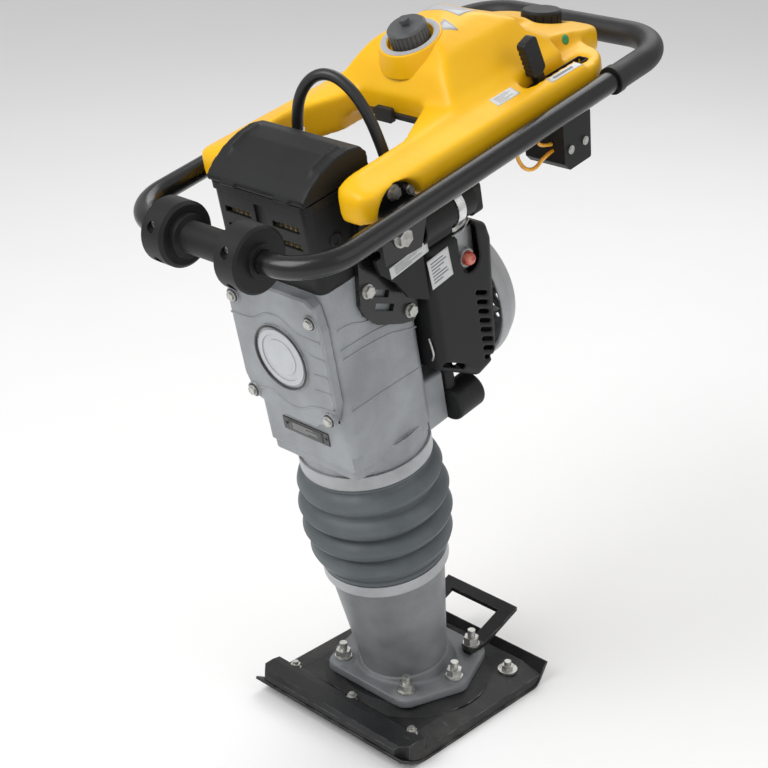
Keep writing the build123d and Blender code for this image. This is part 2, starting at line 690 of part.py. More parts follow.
# ---- air filter and breather hose -----------------------------------------------------------
FILTER_HALF = 79.0
FILTER_REAR = 15.0
HOSE_R = 7.0
HOSE_POINTS = [
    (-60, 38, 718.5), (-58, 35, 770), (-57, 36, 822), (-50, 43, 862), (-32, 54, 885), (-8, 62, 888),
    (16, 66, 872), (37, 66, 845), (52, 64, 812), (62, 63, 776), (72, 66, 738),
]


def air_filter_housing():
    """Open-topped box with two groups of louvres in its front."""
    outer = box(-FILTER_HALF, FILTER_HALF, -88, FILTER_REAR, CASE_TOP_W + 1, LID_HINGE_W - 3)
    outer = fillet(outer.edges().filter_by(Axis.Z), 10)
    room = box(-FILTER_HALF + 4, FILTER_HALF - 4, -84, FILTER_REAR - 4, CASE_TOP_W + 5, LID_HINGE_W)
    lip = box(-FILTER_HALF - 2, FILTER_HALF + 2, -90, FILTER_REAR + 1, LID_HINGE_W - 12, LID_HINGE_W - 3)
    lip = fillet(lip.edges().filter_by(Axis.Z), 10)
    shelf = box(-FILTER_HALF, FILTER_HALF, FILTER_REAR - 1, 58, CASE_TOP_W + 1, CASE_TOP_W + 26)
    housing = join(outer, lip, shelf) - room - box(-10, 10, -92, -84.5, 706, 790)
    for side in (-1, 1):
        for row in range(3):
            slot = Pos(side * 40, -88, 728 + row * 22) * box(-22, 22, -6, 6, -4, 4)
            housing = housing - slot
    outlet = box(50, 74, 30, 70, CASE_TOP_W + 6, CASE_TOP_W + 22)
    return housing - outlet


def filter_element():
    """Pleated paper element."""
    folds = []
    count = 16
    pitch = 2 * (FILTER_HALF - 12) / count
    start = -FILTER_HALF + 12
    for index in range(count):
        folds.append((start + index * pitch, 775))
        folds.append((start + (index + 0.5) * pitch, 740))
    folds.append((start + count * pitch, 775))
    lower = [(u, w - 10) for u, w in folds]
    return front_slab(folds + lower[::-1], -76, FILTER_REAR - 12)


def filter_lid():
    """Domed lid, hinged on its front edge."""
    outline = [(-91, 806), (-91, 813), (-78, 824), (-58, 835), (-34, 842), (-10, 844), (6, 840), (15, 829),
               (15, 806)]
    lid = side_slab(outline, -81, 81)
    lid = fillet(lid.edges().filter_by(Axis.X).group_by(Axis.Z)[-1], 2)
    room = side_slab([(-87, 800), (-87, 812), (-57, 830), (-34, 837), (-10, 839), (4, 836), (11, 827),
        (11, 800)],
                     -77, 77)
    ribs = [side_slab([(-89, 812), (-58, 838), (-34, 845), (-12, 847), (-12, 840), (-58, 830)], u - 2, u + 2)
            for u in (-66, 66)]
    knuckles = [along_u(2.8, u - 12, u + 12, LID_HINGE_V, LID_HINGE_W) for u in (-45, 45)]
    return join(lid, *ribs) - room + knuckles[0] + knuckles[1]


def hose_tube(points, radius, name):
    """Tube along straight runs joined by the largest arcs that the runs allow."""
    corners = [Vector(*p) for p in points]
    bends = []
    for before, here, after in zip(corners, corners[1:], corners[2:]):
        turn = radians((here - before).get_angle(after - here))
        shorter = min((here - before).length, (after - here).length)
        bends.append(0.45 * shorter / tan(turn / 2))
    print(name, "bend radii", [round(b, 1) for b in bends])
    path = FilletPolyline(*points, radius=bends)
    start = Plane(origin=path @ 0, z_dir=path % 0)
    tube = sweep(start * Circle(radius), path=path)
    print(name, "volume over section times length", round(tube.volume / (pi * radius ** 2 * path.length), 4))
    return tube


def build_filter():
    save("air_filter_housing", air_filter_housing())
    save("filter_element", filter_element())
    save("filter_lid", filter_lid())
    save("breather_hose", hose_tube(HOSE_POINTS, HOSE_R, "breather hose"))


# ---- handle frame and rollers ---------------------------------------------------------------
def handle_height(v):
    return HANDLE_W + HANDLE_SLOPE * v


def loop_point(u, v):
    return (u, v, handle_height(v))


def handle_tube():
    """Hollow steel tube bent to a loop; its two ends meet under the transport roller."""
    half = HANDLE_HALF
    corners = [
        loop_point(SEAM_HALF, HANDLE_FRONT), loop_point(half, HANDLE_FRONT), loop_point(half, HANDLE_REAR),
        loop_point(-half, HANDLE_REAR), loop_point(-half, HANDLE_FRONT), loop_point(-SEAM_HALF, HANDLE_FRONT),
    ]
    path = FilletPolyline(*corners, radius=(BEND_FRONT, BEND_REAR, BEND_REAR, BEND_FRONT))
    start = Plane(origin=path @ 0, z_dir=path % 0)
    return sweep(start * (Circle(TUBE_R) - Circle(TUBE_R - TUBE_WALL)), path=path)


def grip_sleeve():
    """Thick rubber sleeve round the operator's end of the handle."""
    half = HANDLE_HALF
    corners = [
        loop_point(half, GRIP_START), loop_point(half, HANDLE_REAR), loop_point(-half, HANDLE_REAR),
        loop_point(-half, GRIP_START),
    ]
    path = FilletPolyline(*corners, radius=(BEND_REAR, BEND_REAR))
    start = Plane(origin=path @ 0, z_dir=path % 0)
    sleeve = sweep(start * (Circle(GRIP_R) - Circle(TUBE_R + 0.15)), path=path)
    collars = []
    for side in (-1, 1):
        collar = Pos(*loop_point(side * half, GRIP_START + 4)) * Rot(90, 0, 0)
        collars.append(collar * (Cylinder(GRIP_R + 1.5, 10) - Cylinder(GRIP_R - 0.2, 20)))
    return join(sleeve, *collars)


def handle_plates():
    """Two plates welded inside the handle tube; the rubber mounts bolt to them."""
    plate = side_slab([(-30, 716), (-32, 782), (-24, 799), (-10, 806), (8, 806), (22, 799), (31, 784),
        (33, 775), (56, 770), (30, 712)],
                      124, 130)
    gusset = box(128, HANDLE_HALF - TUBE_R - 0.1, -20, 30, 772, 778)
    return group([join(plate, gusset), mirror(join(plate, gusset), Plane.YZ)])


def rubber_mounts():
    """Rubber buffers between the side brackets and the handle plates."""
    mount = along_u(25, CASE_HALF + 7.1, 123.9, 0, MOUNT_W) - along_u(31, 98, 112, 0, MOUNT_W)
    mount = mount + along_u(21, 97, 113, 0, MOUNT_W)
    return group([mount, mirror(mount, Plane.YZ)])


def frame_bolts():
    """Flanged bolts of the rubber mounts and the tank."""
    bolts = []
    for side in (-1, 1):
        bolts.append(hex_bolt((side * 130.1, 0, MOUNT_W), (side, 0, 0), 19, 9, 13))
        bolts.append(hex_bolt((side * 130.1, -2, 797), (side, 0, 0), 13, 7, 9.5))
        bolts.append(hex_bolt((side * 130.1, 23, 790), (side, 0, 0), 8, 5, 5.5))
    return group(bolts)


def bracket_bolts():
    """Flanged bolts that hold the side brackets to the gear case."""
    bolts = []
    for side in (-1, 1):
        for v, w in BRACKET_BOLTS:
            bolts.append(hex_bolt((side * (CASE_HALF + 7.1), v, w), (side, 0, 0), 13, 7, 9))
    return group(bolts)


ROLLER_W = HANDLE_W + HANDLE_SLOPE * HANDLE_FRONT
ROLLER_SCREWS = (-21, 21)


def roller_half(upper):
    """One half shell of the transport roller, split on the tube's centre plane."""
    profile = [(TUBE_R + CLEAR, -84), (20, -84), (20, -80), (ROLLER_R - 3, -80), (ROLLER_R, -77),
        (ROLLER_R, -47),
               (ROLLER_R - 4, -43), (26, -43), (26, -36), (19, -34), (19, 34), (26, 36), (26, 43),
               (ROLLER_R - 4, 43), (ROLLER_R, 47), (ROLLER_R, 77), (ROLLER_R - 3, 80), (20, 80), (20, 84),
               (TUBE_R + CLEAR, 84)]
    outline = Polyline([(u, HANDLE_FRONT, ROLLER_W + r) for r, u in profile], close=True)
    axis = Axis((0, HANDLE_FRONT, ROLLER_W), (1, 0, 0))
    whole = revolve(make_face(outline), axis, 360)
    for u in (-62, 62):
        for rise in ROLLER_SCREWS:
            whole = whole - along_v(6, HANDLE_FRONT - 50, HANDLE_FRONT - 22, u, ROLLER_W + rise)
    keep = box(-100, 100, HANDLE_FRONT + 0.05, HANDLE_FRONT + 90, 600, 900)
    front = box(-100, 100, HANDLE_FRONT - 90, HANDLE_FRONT - 0.05, 600, 900)
    return whole & (keep if upper else front)


def transport_roller():
    return group([roller_half(True), roller_half(False)])


def roller_screws():
    screws = []
    for u in (-62, 62):
        for rise in ROLLER_SCREWS:
            head = along_v(5.5, HANDLE_FRONT - 27, HANDLE_FRONT - 22.1, u, ROLLER_W + rise)
            socket = extrude(Plane((u, HANDLE_FRONT - 27, ROLLER_W + rise), z_dir=(0, 1, 0))
                             * RegularPolygon(2.5, 6), 3)
            screws.append(head - socket)
    return group(screws)


def build_handle():
    save("handle_tube", handle_tube())
    save("grip_sleeve", grip_sleeve())
    save("handle_plates", handle_plates())
    save("rubber_mounts", rubber_mounts())
    save("frame_bolts", frame_bolts())
    save("bracket_bolts", bracket_bolts())
    save("transport_roller", transport_roller())
    save("roller_screws", roller_screws())


# ---- tank and controls ----------------------------------------------------------------------
def fuel_tank():
    """Fork-shaped moulded tank: two arms forward, a raised middle and a spine to the rear."""
    half = TANK_HALF
    low = TANK_LOW_W
    plan = [(half, -40), (half - 6, -52), (half - 16, -57), (100, -57), (92, -49), (92, 62), (52, 143),
            (-52, 143), (-92, 62), (-92, -49), (-100, -57), (-half + 16, -57), (-half + 6, -52), (-half, -40),
            (-half, 352), (-half + 6, 372), (-half + 16, 388), (-half + 32, 398), (-84, 402), (-76, 446),
            (-62, 460), (62, 460), (76, 446), (84, 402), (half - 32, 398), (half - 16, 388), (half - 6, 372),
            (half, 352)]
    base = plan_slab(plan, low, 900)
    side = side_slab([(-60, low), (-60, 806), (-50, 818), (-30, 824), (60, 826), (142, 828), (162, 860),
                      (188, 884), (225, 893), (254, 895), (280, 887), (330, 864), (392, 833), (400, 825),
                      (456, 808), (466, 799), (466, 766), (380, low)], -half - 1, half + 1)
    crown = [(-half - 1, low), (-half - 1, 812), (-110, 822), (-92, 836), (-62, 874), (-36, 889), (0, 896),
             (36, 889), (62, 874), (92, 836), (110, 822), (half + 1, 812), (half + 1, low)]
    front = front_slab(crown, -70, 340)
    shelf = front_slab([(-half - 1, low), (-half - 1, 808), (-100, 810), (-83, 812), (-76, 890), (76, 890),
                        (83, 812), (100, 810), (half + 1, 808), (half + 1, low)], 339, 480)
    tank = (base & side) & join(front, shelf)
    for near, far in ((-90, -SPINE_HALF), (SPINE_HALF, 90)):
        tank = tank - side_slab([(312, 862), (345, 838), (396, 826), (470, 804), (470, 920), (312, 920)],
                                near, far)
    tank = tank - side_slab([(60, 770), (60, 798), (152, 798), (212, 770)], -66, 66)
    for sign in (-1, 1):
        arch = Pos(sign * 143.5, -2, 774) * Rot(0, 90, 0) * Cylinder(37, 41)
        tank = tank - arch
    tank = tank - Pos(LEVER_PIVOT[0], 0, 0) * box(-8, 8, 248, 368, 700, 900)
    tank = tank - OIL_CAP_PLACE * Pos(0, 0, 9) * Cylinder(28.5, 34)
    return tank - FUEL_CAP_PLACE * Cylinder(30, 46)


def cap(radius, height, ridges, depth):
    """Knurled cap standing on z = 0."""
    body = Pos(0, 0, height / 2) * Cylinder(radius, height)
    body = chamfer(body.edges().group_by(Axis.Z)[-1], 2.5)
    for index in range(ridges):
        angle = 2 * pi * index / ridges
        groove = Pos(radius * cos(angle), radius * sin(angle), height * 0.42) * Cylinder(depth, height * 0.86)
        body = body - groove
    return body


def oil_cap():
    knob = join(Pos(0, 0, 28) * Cylinder(5, 8), Pos(0, 0, 33) * Cylinder(6.5, 5))
    whole = join(cap(24.5, 26, 28, 1.0), knob)
    return OIL_CAP_PLACE * Pos(0, 0, -7.5) * whole


def fuel_cap():
    return FUEL_CAP_PLACE * Pos(0, 0, -22.7) * cap(26.5, 37, 16, 1.2)


def throttle_lever():
    """Ribbed lever that swings in the slot of the tank's side shelf."""
    u, v, w = LEVER_PIVOT
    hub = Cylinder(12, 12, rotation=(0, 90, 0))
    arm = box(-5, 5, -7, 7, 0, 84)
    paddle = fillet(box(-6.5, 6.5, -13, 12, 84, 134).edges().filter_by(Axis.X), 6)
    for index in range(5):
        paddle = paddle - box(-8, 8, -16, -11.5, 94 + index * 7, 97 + index * 7)
    return Pos(u, v, w) * Rot(16, 0, 0) * join(hub, arm, paddle)


def control_box():
    """Box under the handle that carries the lever's pivot and the cable end."""
    u, v, w = LEVER_PIVOT
    shell = side_slab([(262, 716), (270, 706), (312, 706), (318, 768), (264, 768)], 96, 158)
    shell = fillet(shell.edges().filter_by(Axis.X), 3)
    room = box(u - 9, u + 9, 280, 320, 724, 780)
    strap = box(146, 158, 268, 306, 767, 769.5)
    return join(shell, strap) - room - along_u(13, u - 9, u + 9, v, w) - box(u - 9, u + 9, 276, 330, 752, 780)


def control_screws():
    return group([hex_bolt((158.1, v, w), (1, 0, 0), 7, 3, 5.5) for v, w in ((274, 732), (302, 732))])


def tank_strap():
    """Strap with a latch plate across the rear of the tank opening."""
    band = box(-46, 46, 137, 142.8, 801, 807)
    plate = fillet(box(-22, 6, 131, 138, 797, 815).edges().filter_by(Axis.Y), 3)
    return join(band, plate)


OIL_LINE_POINTS = [
    (140, 262, 732), (140, 244, 731), (139, 228, 722), (137, 212, 728), (134, 204, 744), (131, 206, 762),
    (130, 212, 777),
]


def build_tank():
    save("fuel_tank", fuel_tank())
    save("oil_cap", oil_cap())
    save("fuel_cap", fuel_cap())
    save("throttle_lever", throttle_lever())
    save("control_box", control_box())
    save("control_screws", control_screws())
    save("tank_strap", tank_strap())
    save("oil_line", hose_tube(OIL_LINE_POINTS, 2.5, "oil line"))


build_foot()
build_case()
build_drive()
build_engine()
build_filter()
build_handle()
build_tank()
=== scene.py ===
# %% [markdown]
# # A jumping jack rammer, finished in Blender
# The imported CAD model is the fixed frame: it says where every piece is and which body it moves with.
# This notebook adds what CAD leaves out: soft mouldings, rubber folds, paint, wear, labels and light.

# %% Load the frame
import json
from math import cos, pi, radians, sin

import bmesh
import bpy
from mathutils import Matrix, Vector


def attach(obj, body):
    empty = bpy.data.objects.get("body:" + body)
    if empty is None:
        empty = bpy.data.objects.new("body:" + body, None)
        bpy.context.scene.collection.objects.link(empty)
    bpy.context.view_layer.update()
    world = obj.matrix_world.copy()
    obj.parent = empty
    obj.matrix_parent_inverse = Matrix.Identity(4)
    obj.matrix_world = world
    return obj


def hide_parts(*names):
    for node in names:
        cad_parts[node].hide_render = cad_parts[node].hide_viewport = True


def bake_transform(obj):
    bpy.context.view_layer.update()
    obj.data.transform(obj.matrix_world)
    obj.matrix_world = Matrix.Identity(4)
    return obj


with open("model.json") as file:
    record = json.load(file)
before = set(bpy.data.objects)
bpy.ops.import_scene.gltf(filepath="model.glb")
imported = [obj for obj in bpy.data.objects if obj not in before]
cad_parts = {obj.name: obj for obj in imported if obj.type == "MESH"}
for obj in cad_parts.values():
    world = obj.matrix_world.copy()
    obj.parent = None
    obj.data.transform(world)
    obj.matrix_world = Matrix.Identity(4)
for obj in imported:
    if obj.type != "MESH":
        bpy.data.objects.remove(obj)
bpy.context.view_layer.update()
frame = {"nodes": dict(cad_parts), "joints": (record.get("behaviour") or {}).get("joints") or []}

# %% [markdown]
# ## A leaning frame
# On the real machine everything above the shoe leans forward by a few degrees. Working out each point in
# world axes would hide simple sizes, so places are given as (across, back, up) in millimetres along the
# leg and turned into metres by one matrix. The stroke joint of the CAD model says which way "up" is.

# %% The leaning frame, taken from the stroke joint
MM = 0.001
SOLE_TO_LEG = 17.0
stroke = next(joint for joint in frame["joints"] if joint["name"] == "ram_stroke")
UP = Vector(stroke["axis"]).normalized()
ACROSS = Vector((1, 0, 0))
BACK = UP.cross(ACROSS)
LEAN = Matrix.Translation((0, 0, SOLE_TO_LEG * MM)) @ Matrix((ACROSS, BACK, UP)).transposed().to_4x4()
LEAN_MM = LEAN @ Matrix.Scale(MM, 4)


def lean(u, v, w):
    """A point given across, back and up in millimetres, as a world point in metres."""
    return LEAN_MM @ Vector((u, v, w))


print("the leg leans along", [round(x, 3) for x in UP])

# %% [markdown]
# ## The camera
# The camera comes first, because everything else is judged through it. A long lens from two metres away
# keeps the machine's verticals calm. It could be placed by hand, but a small formula from a turn, a height
# angle and a distance is easier to read and to change.

# %% Camera
TURN, RISE, ROLL = 43.741, 24.118, 0.129
DISTANCE = 2.1111
AIM = Vector((0.0, -0.0516, 0.48219))


def backwards(turn, rise):
    """The direction from the aim to a camera turned and raised by these degrees."""
    a, e = radians(turn), radians(rise)
    return Vector((sin(a) * cos(e), -cos(a) * cos(e), sin(e)))


camera_data = bpy.data.cameras.new("camera")
camera_data.lens = 77.06
camera_data.sensor_width = 36.0
camera = bpy.data.objects.new("camera", camera_data)
bpy.context.scene.collection.objects.link(camera)
away = backwards(TURN, RISE)
look = away.to_track_quat("Z", "Y").to_matrix().to_4x4()
upright = look @ Matrix.Rotation(radians(ROLL), 4, "Z")
camera.matrix_world = Matrix.Translation(AIM + away * DISTANCE) @ upright
bpy.context.scene.camera = camera
print("camera at", [round(x, 3) for x in camera.matrix_world.translation])

# %% [markdown]
# ## Writing shaders as expressions
# A node tree for worn paint soon has forty nodes. Placing them by hand is slow to read, so a small class
# wraps one socket and overloads + - * and the comparisons < and >, and each use adds a Math node. Colours are
# mixed by a Mix node, because a Math node would turn them grey.

# %% The socket class
class Wire:
    """One node output that can be used in a Python expression."""

    def __init__(self, finish, socket):
        self.finish = finish
        self.socket = socket

    def maths(self, operation, first, second):
        return self.finish.node("ShaderNodeMath", {"operation": operation}, {0: first, 1: second})

    def __add__(self, other):
        return self.maths("ADD", self, other)

    def __sub__(self, other):
        return self.maths("SUBTRACT", self, other)

    def __rsub__(self, other):
        return self.maths("SUBTRACT", other, self)

    def __mul__(self, other):
        return self.maths("MULTIPLY", self, other)

    def __gt__(self, other):
        return self.maths("GREATER_THAN", self, other)

    def __lt__(self, other):
        return self.maths("LESS_THAN", self, other)

    __radd__ = __add__
    __rmul__ = __mul__


class Finish:
    """One material, built from nodes by short expressions."""

    def __init__(self, name, roughness=0.5, metallic=0.0, coat=0.0, shine=0.5):
        self.material = bpy.data.materials.new(name)
        self.material.use_nodes = True
        self.tree = self.material.node_tree
        self.shader = self.tree.nodes["Principled BSDF"]
        self.shader.inputs["Roughness"].default_value = roughness
        self.shader.inputs["Metallic"].default_value = metallic
        self.shader.inputs["Coat Weight"].default_value = coat
        self.shader.inputs["Coat Roughness"].default_value = 0.12
        self.shader.inputs["Specular IOR Level"].default_value = shine
        self.place = self.node("ShaderNodeTexCoord", out="Object")

    def node(self, kind, settings=None, sockets=None, out=0):
        """Any node: its settings first, then the values or wires of its sockets."""
        made = self.tree.nodes.new(kind)
        for name, value in (settings or {}).items():
            if name == "stops":
                self.set_stops(made.color_ramp, value)
            else:
                setattr(made, name, value)
        for key, value in (sockets or {}).items():
            self.feed(made.inputs[key], value)
        return Wire(self, made.outputs[out])

    def feed(self, socket, value):
        if isinstance(value, Wire):
            self.tree.links.new(value.socket, socket)
        else:
            socket.default_value = value

    def set_stops(self, ramp, stops):
        while len(ramp.elements) < len(stops):
            ramp.elements.new(0.5)
        for element, (position, grey) in zip(ramp.elements, stops):
            element.position = position
            element.color = (grey, grey, grey, 1)

    def noise(self, per_metre, detail=3.0, rough=0.55, stretch=None):
        """Fractal noise with features one over per_metre in size."""
        place = self.place
        if stretch:
            place = self.node("ShaderNodeMapping", {}, {"Vector": self.place, "Scale": stretch})
        return self.node("ShaderNodeTexNoise", {}, {"Vector": place, "Scale": per_metre, "Detail": detail,
                                                   "Roughness": rough})

    def cells(self, per_metre):
        """Rounded cells, for moulded grain."""
        return self.node("ShaderNodeTexVoronoi", {"feature": "SMOOTH_F1"}, {"Vector": self.place,
                                                                           "Scale": per_metre})

    def window(self, wire, low, high):
        """Zero below low, one above high, and a straight slope between."""
        return self.node("ShaderNodeMapRange", {}, {"Value": wire, "From Min": low, "From Max": high})

    def mix(self, share, first, second):
        """A blend of two colours."""
        return self.node("ShaderNodeMix", {"data_type": "RGBA"}, {0: share, 6: first, 7: second}, out=2)

    def edges(self, radius):
        """One on edges and corners that rub, zero on open faces."""
        eased = self.node("ShaderNodeBevel", {"samples": 4}, {"Radius": radius})
        plain = self.node("ShaderNodeNewGeometry", out="Normal")
        agree = self.node("ShaderNodeVectorMath", {"operation": "DOT_PRODUCT"}, {0: eased, 1: plain},
                          out="Value")
        return self.window(1 - agree, 0.02, 0.16)

    def height(self):
        """Height above the ground, in metres."""
        return self.node("ShaderNodeSeparateXYZ", {}, {0: self.place}, out="Z")

    def whole(self, wire):
        """The whole number below a value."""
        return self.node("ShaderNodeMath", {"operation": "FLOOR"}, {0: wire})

    def bars(self, wire):
        """One over the middle part of each unit step: a printed bar and the gap beside it."""
        part = self.node("ShaderNodeMath", {"operation": "FRACT"}, {0: wire})
        return (part > 0.3) * (part < 0.72)

    def bump(self, wire, depth, ease=0.0):
        """Fine relief of that depth in metres, over edges eased by a radius."""
        sockets = {"Height": wire, "Distance": depth, "Strength": 1.0}
        if ease:
            sockets["Normal"] = self.node("ShaderNodeBevel", {"samples": 4}, {"Radius": ease})
        self.feed(self.shader.inputs["Normal"], self.node("ShaderNodeBump", {}, sockets))

    def colour(self, wire):
        self.feed(self.shader.inputs["Base Color"], wire)

    def roughness(self, wire):
        self.feed(self.shader.inputs["Roughness"], wire)

    def metallic(self, wire):
        self.feed(self.shader.inputs["Metallic"], wire)


def rgb(red, green, blue):
    """A colour with full alpha."""
    return (red, green, blue, 1.0)


print("the shader helpers are ready")

# %% [markdown]
# ## Cast and painted metal
# The gear case is sand-cast aluminium sprayed silver grey. Three things make it read as that: a coarse cast
# skin under the paint, a fine sparkle in the colour, and paler rubbed edges. A picture texture could do it,
# but noise at the right size stays sharp at any distance and needs no unwrapping.

# %% Painted castings
def cast_paint(name, colour, bare=rgb(0.62, 0.63, 0.64), skin=0.00012, metallic=0.35, roughness=0.42):
    """Sprayed paint over a cast skin, rubbed on its edges."""
    f = Finish(name, roughness, metallic)
    patch = f.noise(14, 4)
    sparkle = f.noise(2600, 1)
    dark = tuple(c * 0.78 for c in colour[:3]) + (1,)
    light = tuple(min(1.0, c * 1.16) for c in colour[:3]) + (1,)
    base = f.mix(f.window(patch, 0.35, 0.68), dark, light)
    base = f.mix(f.window(sparkle, 0.55, 0.75) * 0.35, base, light)
    rub = f.edges(0.0016) * f.window(f.noise(90, 3), 0.42, 0.6)
    f.colour(f.mix(rub, base, bare))
    f.roughness(roughness - 0.10 + 0.22 * patch)
    f.metallic(metallic + rub * 0.4)
    pits = f.noise(420, 4, 0.65) + 0.35 * f.noise(1700, 2)
    f.bump(pits, skin * 4, 0.0012)
    return f.material


case_paint = cast_paint("silver_grey_case_paint", rgb(0.315, 0.33, 0.345))
leg_paint = cast_paint("grey_leg_paint", rgb(0.215, 0.225, 0.23), skin=0.00006, metallic=0.3, roughness=0.38)
band_paint = cast_paint("light_grey_band_paint", rgb(0.40, 0.41, 0.42), skin=0.00005, roughness=0.34)
fan_paint = cast_paint("pale_fan_cover_paint", rgb(0.42, 0.43, 0.44), skin=0.00012, metallic=0.45)
flange_paint = cast_paint("dark_flange_casting", rgb(0.165, 0.172, 0.18), rgb(0.24, 0.24, 0.24), skin=0.00018,
                          metallic=0.2, roughness=0.5)
raw_casting = cast_paint("bare_cast_aluminium", rgb(0.46, 0.47, 0.48), rgb(0.75, 0.75, 0.75), metallic=0.85,
                         roughness=0.4)
print("castings:", case_paint.name, raw_casting.name)

# %% [markdown]
# ## Black paint and black plastic
# Black is never one black. The frame tube is thick gloss paint with a slight orange peel, the covers are
# moulded plastic with a leathery grain, and the shoe is paint scraped by soil. They differ in roughness and
# in the size of their relief, more than in colour.

# %% Gloss black paint, moulded plastic and scraped steel
def gloss_black(name):
    f = Finish(name, 0.22, 0.0, 0.25, 0.4)
    haze = f.noise(30, 3)
    rub = f.edges(0.0012) * f.window(f.noise(140, 3), 0.5, 0.66)
    f.colour(f.mix(rub * 0.7, rgb(0.006, 0.006, 0.0065), rgb(0.12, 0.12, 0.125)))
    f.roughness(0.20 + 0.16 * haze + 0.2 * f.window(f.noise(260, 4), 0.58, 0.75))
    f.bump(f.noise(330, 1), 0.00010, 0.0006)
    return f.material


def moulded(name, colour, grain=0.00016, roughness=0.48, scuff=0.25):
    """Textured injection-moulded plastic with pale scuffs on its edges."""
    f = Finish(name, roughness, shine=0.3)
    patch = f.noise(22, 3)
    pale = tuple(min(1.0, c * 2.2 + 0.03) for c in colour[:3]) + (1,)
    dull = tuple(c * 0.7 for c in colour[:3]) + (1,)
    base = f.mix(f.window(patch, 0.3, 0.7), dull, colour)
    scratches = f.window(f.noise(120, 5, 0.7, (1.0, 0.25, 3.0)), 0.62, 0.72)
    wear = f.edges(0.0011) * f.window(f.noise(70, 3), 0.4, 0.65)
    f.colour(f.mix(wear * 0.55 + scratches * scuff * 0.4, base, pale))
    f.roughness(roughness - 0.08 + 0.18 * patch + 0.15 * scratches)
    f.bump(f.cells(1300) + 0.5 * f.noise(700, 2), grain, 0.0009)
    return f.material


def scraped_black(name):
    """Black paint on steel that soil has scraped."""
    f = Finish(name, 0.42, 0.1, shine=0.3)
    patch = f.noise(18, 4)
    scrape = f.window(f.noise(55, 6, 0.72, (0.5, 3.0, 1.0)), 0.63, 0.7)
    wear = f.edges(0.0022) * f.window(f.noise(60, 4), 0.42, 0.6)
    low = f.window(f.height(), 0.03, 0.004) * f.window(f.noise(35, 5), 0.45, 0.62)
    base = f.mix(f.window(patch, 0.3, 0.7), rgb(0.009, 0.009, 0.010), rgb(0.020, 0.021, 0.022))
    base = f.mix(low * 0.4, base, rgb(0.12, 0.10, 0.08))
    bare = wear * 0.5 + scrape * 0.2
    f.colour(f.mix(bare, base, rgb(0.33, 0.33, 0.33)))
    f.metallic(0.1 + bare * 0.7)
    f.roughness(0.34 + 0.24 * patch)
    f.bump(f.noise(300, 5, 0.6), 0.0004, 0.0012)
    return f.material


frame_black = gloss_black("gloss_black_frame_paint")
cover_black = moulded("black_cover_plastic", rgb(0.0105, 0.0108, 0.0115))
lever_black = moulded("black_lever_plastic", rgb(0.015, 0.015, 0.016), grain=0.0001, roughness=0.4)
cap_grey = moulded("dark_grey_cap_plastic", rgb(0.10, 0.105, 0.108), grain=0.0001, roughness=0.42)
shoe_black = scraped_black("scraped_black_shoe")
muffler_black = scraped_black("heatproof_black_muffler")
print("blacks:", frame_black.name, cover_black.name, shoe_black.name)

# %% [markdown]
# ## The yellow tank
# The tank is rotomoulded: powder melts against a hot mould, so its skin has a soft, slightly uneven sheen and
# no sharp edge. A painted shade, a deeper amber on the faces that turn downwards, and a long, shallow
# unevenness say that better than shine does.

# %% Tank plastic
def tank_plastic():
    f = Finish("yellow_rotomoulded_tank", 0.36, 0.0, 0.05, 0.32)
    slow = f.noise(7, 3)
    fine = f.noise(60, 4)
    base = f.mix(f.window(slow, 0.32, 0.66), rgb(0.86, 0.455, 0.003), rgb(0.93, 0.525, 0.005))
    # painted shade: faces that turn downwards are mixed towards a deeper amber, standing in for the shade
    # under the tank
    under = f.node("ShaderNodeSeparateXYZ", {}, {0: f.node("ShaderNodeNewGeometry", out="Normal")}, out="Z")
    base = f.mix(f.window(under, 0.15, -0.75) * 0.35, base, rgb(0.80, 0.38, 0.006))
    speck = f.window(f.noise(900, 2), 0.70, 0.78)
    scuff = f.window(f.noise(85, 6, 0.72, (0.4, 2.2, 1.0)), 0.66, 0.72)
    base = f.mix(speck * 0.18 + scuff * 0.16, base, rgb(0.99, 0.78, 0.30))
    f.colour(base)
    f.roughness(0.31 + 0.14 * fine + 0.12 * scuff)
    f.bump(f.noise(24, 2) * 5 + f.noise(520, 3) + 0.4 * f.cells(900), 0.00018)
    return f.material


tank_yellow = tank_plastic()
print("tank:", tank_yellow.name)

# %% [markdown]
# ## Rubber, zinc and bare steel
# Rubber scatters light from a dusty skin, so it is rough and slightly blue. Zinc plating is metal with a
# cloudy, faintly yellow bloom. Machined steel has fine lines that run one way, which a stretched noise gives.

# %% Rubber
def rubber(name, colour, dust=0.25, roughness=0.62, grain=0.0002):
    """Matt rubber with pale dust in clouds."""
    f = Finish(name, roughness)
    patch = f.noise(30, 4)
    pale = tuple(min(1.0, c * 1.5 + 0.04) for c in colour[:3]) + (1,)
    cloud = f.window(f.noise(9, 5, 0.6), 0.45, 0.7)
    base = f.mix(f.window(patch, 0.3, 0.7) * 0.5, colour, tuple(c * 0.72 for c in colour[:3]) + (1,))
    f.colour(f.mix(cloud * dust, base, pale))
    f.roughness(roughness - 0.1 + 0.2 * patch)
    f.bump(f.noise(850, 3) + 0.6 * f.noise(160, 3), grain, 0.0008)
    return f.material


bellows_rubber = rubber("blue_grey_bellows_rubber", rgb(0.085, 0.1, 0.108), dust=0.35, roughness=0.5)
grip_rubber = rubber("black_grip_rubber", rgb(0.011, 0.011, 0.012), dust=0.06, roughness=0.5)
hose_rubber = rubber("black_hose_rubber", rgb(0.014, 0.014, 0.015), dust=0.10, roughness=0.36, grain=0.0001)
mount_rubber = rubber("black_mount_rubber", rgb(0.02, 0.02, 0.021), dust=0.2)


